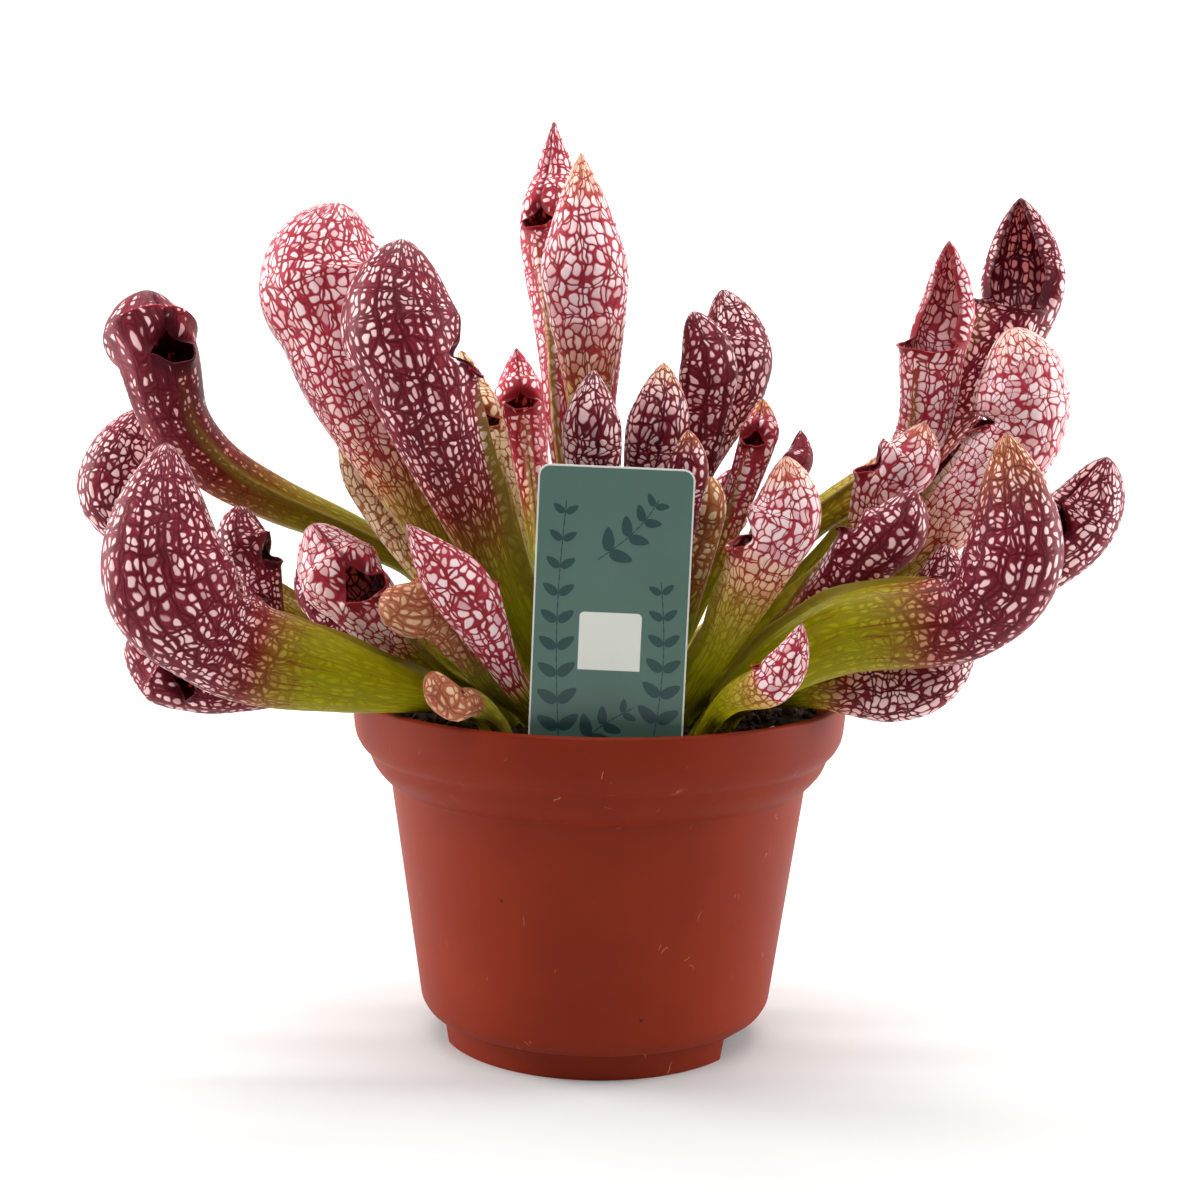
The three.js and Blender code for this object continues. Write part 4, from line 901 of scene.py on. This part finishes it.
def plastic_material():
    """Injection-moulded terracotta-coloured polypropylene: a satin skin with faint clouds in
    the colour, hairline scuffs, and a little peat dust."""
    material, node = new_material("terracotta plastic, moulded")
    place = node("TexCoord")["Object"]
    # Clouds about 36 mm across.
    clouds = node("MapRange", node("TexNoise", place, 28, 4), 0.3, 0.7)
    base = node("Mix RGBA", clouds, "#7a2006", "#86290c")
    # Scuffs: thin lines, 2 to 17 mm apart, where a stretched noise crosses its middle value,
    # broken up over 6 mm.
    stretch = {"Rotation": (0.5, 0.3, 0.9), "Scale": (60, 420, 90)}
    stretched = node("Mapping", place, named=stretch)
    scratch = node("Math SUBTRACT", node("TexNoise", stretched, 1, 1), 0.5)
    scratch = node("MapRange", node("Math ABSOLUTE", scratch), 0, 0.006, 1, 0)
    broken = node("MapRange", node("TexNoise", place, 160, 1), 0.66, 0.72)
    scratch = node("Math MULTIPLY", scratch, broken)
    base = node("Mix RGBA", scratch, base, "#cf8266")
    # Specks of peat: one cell in fourteen, on a net of 6 mm, has a dot under 1 mm wide.
    specks = node("TexVoronoi", place, 160)
    seldom = node("MapRange", node("SeparateColor", specks["Color"]), 0.93, 0.94)
    dot = node("Math MULTIPLY", node("MapRange", specks, 0.06, 0.1, 1, 0), seldom)
    base = node("Mix RGBA", dot, base, "#3a1d14")
    # A moulded grain of about 1 mm.
    bump = node("Bump", 0.25, 0.1 * MM, named={"Height": node("TexNoise", place, 900, 2)})
    gloss = node("MapRange", clouds, 0, 1, 0.5, 0.6)
    shader = node("BsdfPrincipled", base, named={
        "Roughness": gloss, "Normal": bump, "IOR": 1.49, "Specular IOR Level": 0.15,
    })
    node("OutputMaterial", shader)
    return material


NOTCH_FROM, NOTCH_TO = 38, 60  # the foot notches' reach from the axis
NOTCH_HEIGHT = FOOT_HEIGHT - 1.5
DRAIN_DEPTH = 14


def make_pot():
    """The pot is its rounded section turned round the axis, less its notches and drains."""
    points, faces = turned(rounded(pot_outline()), 160)
    mesh = make_mesh("moulded_pot", points, faces)
    tools = [
        block([NOTCH_FROM, -FOOT_NOTCH_WIDTH / 2, -1],
              [NOTCH_TO, FOOT_NOTCH_WIDTH / 2, NOTCH_HEIGHT], math.radians(angle))
        for angle in FOOT_NOTCHES
    ]
    corners = [[0.2, 0], [DRAIN_RADIUS, 0], [DRAIN_RADIUS, DRAIN_DEPTH], [0.2, DRAIN_DEPTH]]
    hole, faces = turned(np.array(corners), 24)
    tools += [(hole + polar(DRAIN_CIRCLE, angle, 0), faces) for angle in around(DRAIN_HOLES)]
    mesh = cut_away(mesh, tools)
    piece(mesh, [plastic_material()], ["pot"])


make_pot()

# ---- The peat ----


def peat_material(name, low, high):
    """Moist peat with bark fines: matt, nearly black, with paler fibres 2.4 mm apart."""
    material, node = new_material(name)
    grain = node("TexNoise", node("TexCoord")["Object"], 420, 6)
    base = node("Mix RGBA", node("MapRange", grain, 0.35, 0.7), low, high)
    bump = node("Bump", 0.8, 0.6 * MM, named={"Height": grain})
    shader = node("BsdfPrincipled", base, named={
        "Roughness": 0.9, "Normal": bump, "IOR": 1.4, "Specular IOR Level": 0.3,
    })
    node("OutputMaterial", shader)
    return material


PEAT_RADIUS, CRUMBS_RADIUS = 67.9, 66
CROWN, CROWN_REACH, EDGE_DROP, LUMP_HEIGHT = 1.5, 50, 2.5, 0.28


def peat_height(x, y):
    """Height of the peat: a slight crown that falls off near the pot's wall, plus lumps."""
    r = np.hypot(x, y)
    crown = SOIL_TOP + CROWN * (1 - np.clip(r / CROWN_REACH, 0, 1))
    edge = -EDGE_DROP * np.clip((r - CROWN_REACH) / 18, 0, 1)
    rng = np.random.default_rng(5)
    lumps = waves(joined(x, y), rng, 28, 11, 2.2)
    return crown + edge + LUMP_HEIGHT * lumps - 0.2


def make_peat():
    """The peat as a polar height field with an upright side and a flat bottom."""
    rings, columns = 90, 200
    r = PEAT_RADIUS * (np.arange(1, rings + 1) / rings) ** 0.9
    angle = around(columns)
    top = polar(r[:, None], angle, 0.0)
    top[..., 2] = peat_height(top[..., 0], top[..., 1])
    wall = [(r_out - POT_WALL - CLEARANCE, z_out) for r_out, z_out, _ in POT_OUTSIDE[:7]]
    wall = np.array([(FOOT_RADIUS, FLOOR_TOP + CLEARANCE), *wall])[::-1, :, None]
    low = polar(wall[:, 0], angle, wall[:, 1])
    middle = peat_height(np.zeros(1), np.zeros(1))[0]
    points = np.vstack([np.concatenate([top, low]).reshape(-1, 3),
                        [[0, 0, middle], [0, 0, FLOOR_TOP + CLEARANCE]]])
    mesh = make_mesh("peat_bed", points, closed_rings(rings + len(wall), columns))
    piece(mesh, [peat_material("peat, moist", "#120b07", "#3a281c")], ["peat"])


def crumbs(name, count, sizes, seed, material):
    """Irregular grains on the peat: balls of three rings of seven points with uneven radius,
    stretched, turned and set down at random places."""
    rng = np.random.default_rng(seed)
    rings, columns = 3, 7
    tilt = (np.arange(1, rings + 1) / (rings + 1) * math.pi)[:, None]
    ball = polar(np.sin(tilt), around(columns), np.cos(tilt)).reshape(-1, 3)
    ball = np.vstack([ball, [[0, 0, 1], [0, 0, -1]]])
    n = len(ball)
    size = rng.uniform(*sizes, (count, 1, 1)) * rng.uniform(0.6, 1.3, (count, 1, 3))
    shape = ball[None] * rng.uniform(0.75, 1.2, (count, n, 1)) * size
    turn = np.linalg.qr(rng.normal(size=(count, 3, 3)))[0]
    turn *= np.sign(np.linalg.det(turn))[:, None, None]
    r = CRUMBS_RADIUS * np.sqrt(rng.uniform(0, 1, count))
    place = polar(r, rng.uniform(0, TURN, count), 0.0)
    place[:, 2] = peat_height(place[:, 0], place[:, 1]) + size[:, 0, 0] * 0.35
    points = (shape @ turn + place[:, None]).reshape(-1, 3)
    faces = copies(closed_rings(rings, columns), count, n)
    piece(make_mesh(name, points, faces), [material])


make_peat()
crumbs("peat_crumbs", 900, (0.5, 1.6), 11, peat_material("peat crumbs", "#1a100a", "#4a3424"))
crumbs("bark_fines", 160, (0.8, 2.0), 12, peat_material("bark fines", "#2c1a10", "#6a4a30"))
crumbs("perlite", 46, (0.5, 1.1), 13, peat_material("perlite", "#b8b2a8", "#e6e2d8"))

# ---- The label ----


def label_place(points):
    """Points of the label's own plane (across, up from the peat, out) in the part's frame."""
    lean = math.radians(-LABEL_LEAN)
    x, z, out = points[..., 0], points[..., 1], points[..., 2]
    across = x * math.cos(lean) - z * math.sin(lean) + LABEL_PLACE[0]
    up = x * math.sin(lean) + z * math.cos(lean) + SOIL_TOP
    return joined(across, LABEL_PLACE[1] - out, up)


def card_outline(half, low, high, corner):
    """A rectangle whose upper corners are quarter circles, as points going round it."""
    turn = np.linspace(0, math.pi / 2, 8)
    right = joined(half - corner + corner * np.cos(turn), high - corner + corner * np.sin(turn))
    return np.vstack([[[-half, low], [half, low]], right, right[::-1] * [-1, 1]])


def slab(name, outlines, out_low, out_high, material, nodes=(), bevel=0.0):
    """Flat pieces of these outlines between two distances from the label's middle plane, their
    front edges drawn in a little."""
    count, n = outlines.shape[:2]
    middle = outlines.mean(axis=1, keepdims=True)
    inner = outlines - unit(outlines - middle) * bevel
    layers = [(outlines, out_low), (outlines, out_high - bevel * 0.6), (inner, out_high),
              (middle, out_low), (middle, out_high)]
    points = [np.dstack([line, np.full(line.shape[:2], out)]) for line, out in layers]
    points = label_place(np.concatenate(points, 1).reshape(-1, 3))
    faces = copies(closed_rings(3, n), count, 3 * n + 2)
    if volume(points, faces) < 0:
        faces = [f[:, ::-1] for f in faces]
    mesh = make_mesh(name, points, faces)
    mesh.shade_flat()
    piece(mesh, [material], nodes)


def sprig(foot, top, lean, pairs):
    """Outlines of a plain sprig: oval leaves in pairs along a slim bowed stem. Each outline
    is an ellipse whose width fades towards one end."""
    foot, top = np.array(foot, float), np.array(top, float)
    place = np.linspace(0, 1, 3 * pairs + 1)
    bow = joined(lean * np.sin(place * math.pi), 0)
    stem = foot + (top - foot) * place[:, None] + bow
    turn = around(18)
    oval = joined(np.cos(turn), np.sin(turn) * (1 - 0.3 * np.cos(turn)))
    at, way = (stem[1:] + stem[:-1]) / 2, stem[1:] - stem[:-1]
    half = joined(np.linalg.norm(way, axis=1) * 0.56, 0.16)
    tilt = np.arctan2(way[:, 1], way[:, 0])
    leaf_at, leaf_way = at[1::3], tilt[1::3]
    length = 3.1 - 1.3 * np.linspace(0, 1, pairs)
    for side in (-1, 1):
        angle = leaf_way + side * 0.95
        reach = joined(np.cos(angle), np.sin(angle)) * (length[:, None] + 0.3)
        at = np.vstack([at, leaf_at + reach])
        half = np.vstack([half, joined(length, 0.5 * length)])
        tilt = np.concatenate([tilt, angle])
    shape = oval[None] * half[:, None]
    c, s = np.cos(tilt)[:, None], np.sin(tilt)[:, None]
    x, y = shape[..., 0], shape[..., 1]
    return joined(x * c - y * s, x * s + y * c) + at[:, None]


def card_material(name, low, high):
    """Printed plastic card: an even ink film, with clouds of 17 mm and a grain of 0.7 mm,
    under a thin clear varnish."""
    material, node = new_material(name)
    place = node("TexCoord")["Object"]
    base = node("Mix RGBA", node("TexNoise", place, 60, 3), low, high)
    bump = node("Bump", 0.1, 0.1 * MM, named={"Height": node("TexNoise", place, 1500, 1)})
    shader = node("BsdfPrincipled", base, named={
        "Roughness": 0.38, "Normal": bump, "IOR": 1.5, "Coat Weight": 0.3, "Coat Roughness": 0.25,
    })
    node("OutputMaterial", shader)
    return material


LABEL_MARGIN = 0.45  # of bare white card round the print
INK_DEPTH = 0.05  # that the print's layer reaches into the card


def make_label():
    """The card and its thin printed design of plain leaf sprigs and a blank panel."""
    low, high = -LABEL_DEPTH, LABEL_HEIGHT - LABEL_DEPTH
    half, thick = LABEL_WIDTH / 2, LABEL_THICKNESS / 2
    white = card_material("white card core", "#d8d8d0", "#e4e4dc")
    teal = card_material("label card, printed", "#4b6a60", "#557469")
    ink = card_material("dark ink", "#1b3d3c", "#224846")
    panel = card_material("blank panel ink", "#dfe2da", "#e8eae2")
    whole = card_outline(half, low, high, LABEL_CORNER)
    slab("label_card", whole[None], -thick, thick, white, ["label"], 0.08)
    face = card_outline(half - LABEL_MARGIN, low, high - LABEL_MARGIN, LABEL_CORNER - 0.4)
    slab("label_face", face[None], thick - INK_DEPTH, thick + PRINT_HEIGHT, teal)
    slab("label_back", face[None], -thick - PRINT_HEIGHT, -thick + INK_DEPTH, teal)
    sprigs = [
        sprig((-12, 3), (-12.5, 66), -1.5, 9), sprig((12.5, 6), (12.5, 46), 1.5, 6),
        sprig((-4, 51), (11, 67), 2, 4), sprig((-6, 3), (7, 13), -1.5, 3),
    ]
    slab("label_sprigs", np.vstack(sprigs), thick, thick + 2 * PRINT_HEIGHT, ink)
    blank = card_outline(8, -7.5, 7.5, 1.2) + [0, 30]
    slab("label_panel", blank[None], thick, thick + 2 * PRINT_HEIGHT, panel)


make_label()

# ---- Studio ----


LAMPS = {  # place and aim in metres, width and height in metres, and power in watts
    "soft_box_left": ((-0.85, 0.1, 0.35), (0, 0, 0.12), 0.5, 0.7, 11),
    "soft_box_right": ((0.85, 0.1, 0.35), (0, 0, 0.12), 0.5, 0.7, 9),
    "soft_box_top": ((0, 0.15, 1.0), (0, 0.05, 0), 1.1, 0.8, 7),
    "soft_box_front": ((0, -0.6, 0.95), (0, 0, 0.16), 1.0, 0.5, 5.5),
    "wall_lamp": ((0, 0.9, 1.6), (0, 2.0, 0.6), 1.6, 0.3, 60),
}
AIR_LIGHT = 0.09
WALL_FOOT, WALL_BEND, WALL_TOP = 1200, 900, 2600
CAMERA_PLACE = (-0.0003, -0.567, 0.2)
CAMERA_DOWN, CAMERA_ROLL = 7.43, 0.9  # degrees
CAMERA_LENS = 60


def make_studio():
    """A pale floor that curves up into a wall behind the plant, and lamps with soft edges."""
    turn = np.linspace(0, math.pi / 2, 14)
    profile = np.vstack([
        [[1, 0], [300, 0], [600, 0], [1000, 0]],
        joined(WALL_FOOT + WALL_BEND * np.sin(turn), WALL_BEND - WALL_BEND * np.cos(turn)),
        [[WALL_FOOT + WALL_BEND, 2 * WALL_BEND], [WALL_FOOT + WALL_BEND, WALL_TOP]],
    ])
    columns = 96
    angle = around(columns)
    z = profile[:, 1:] * smooth((np.sin(angle) + 0.45) / 0.7)
    points = polar(profile[:, :1], angle, z).reshape(-1, 3)
    k = np.arange(1, columns - 1)
    middle = joined(0, k, k + 1)
    faces = [rings_patch(table(len(profile), columns))[:, [0, 3, 2, 1]], middle]
    floor = placed("studio_floor", make_mesh("studio_floor", points, faces))
    material, node = new_material("pale studio paper")
    paper = {"Roughness": 0.9, "Specular IOR Level": 0.1}
    node("OutputMaterial", node("BsdfPrincipled", "#d2d2d1", named=paper))
    floor.data.materials.append(material)

    for name, (place, aim, width, height, power) in LAMPS.items():
        lamp = bpy.data.lights.new(name, "AREA")
        lamp.shape = "RECTANGLE"
        lamp.size, lamp.size_y, lamp.energy = width, height, power
        made = placed(name, lamp)
        made.location = place
        made.rotation_euler = (Vector(aim) - Vector(place)).to_track_quat("-Z", "Y").to_euler()
    world = bpy.data.worlds.new("studio_air")
    world.use_nodes = True
    back = world.node_tree.nodes["Background"]
    back.inputs[0].default_value = linear("#ffffff")
    back.inputs[1].default_value = AIR_LIGHT
    bpy.context.scene.world = world
    bpy.context.scene.view_settings.view_transform = "Standard"

    eye = bpy.data.cameras.new("camera")
    eye.lens, eye.sensor_width, eye.sensor_fit = CAMERA_LENS, 36, "HORIZONTAL"
    eye.clip_start, eye.clip_end = 0.01, 20
    camera = placed("camera", eye)
    tilt = Matrix.Rotation(math.radians(90 - CAMERA_DOWN), 4, "X")
    roll = Matrix.Rotation(math.radians(CAMERA_ROLL), 4, "Z")
    camera.matrix_world = Matrix.Translation(CAMERA_PLACE) @ tilt @ roll
    bpy.context.scene.camera = camera


make_studio()

bpy.context.view_layer.update()
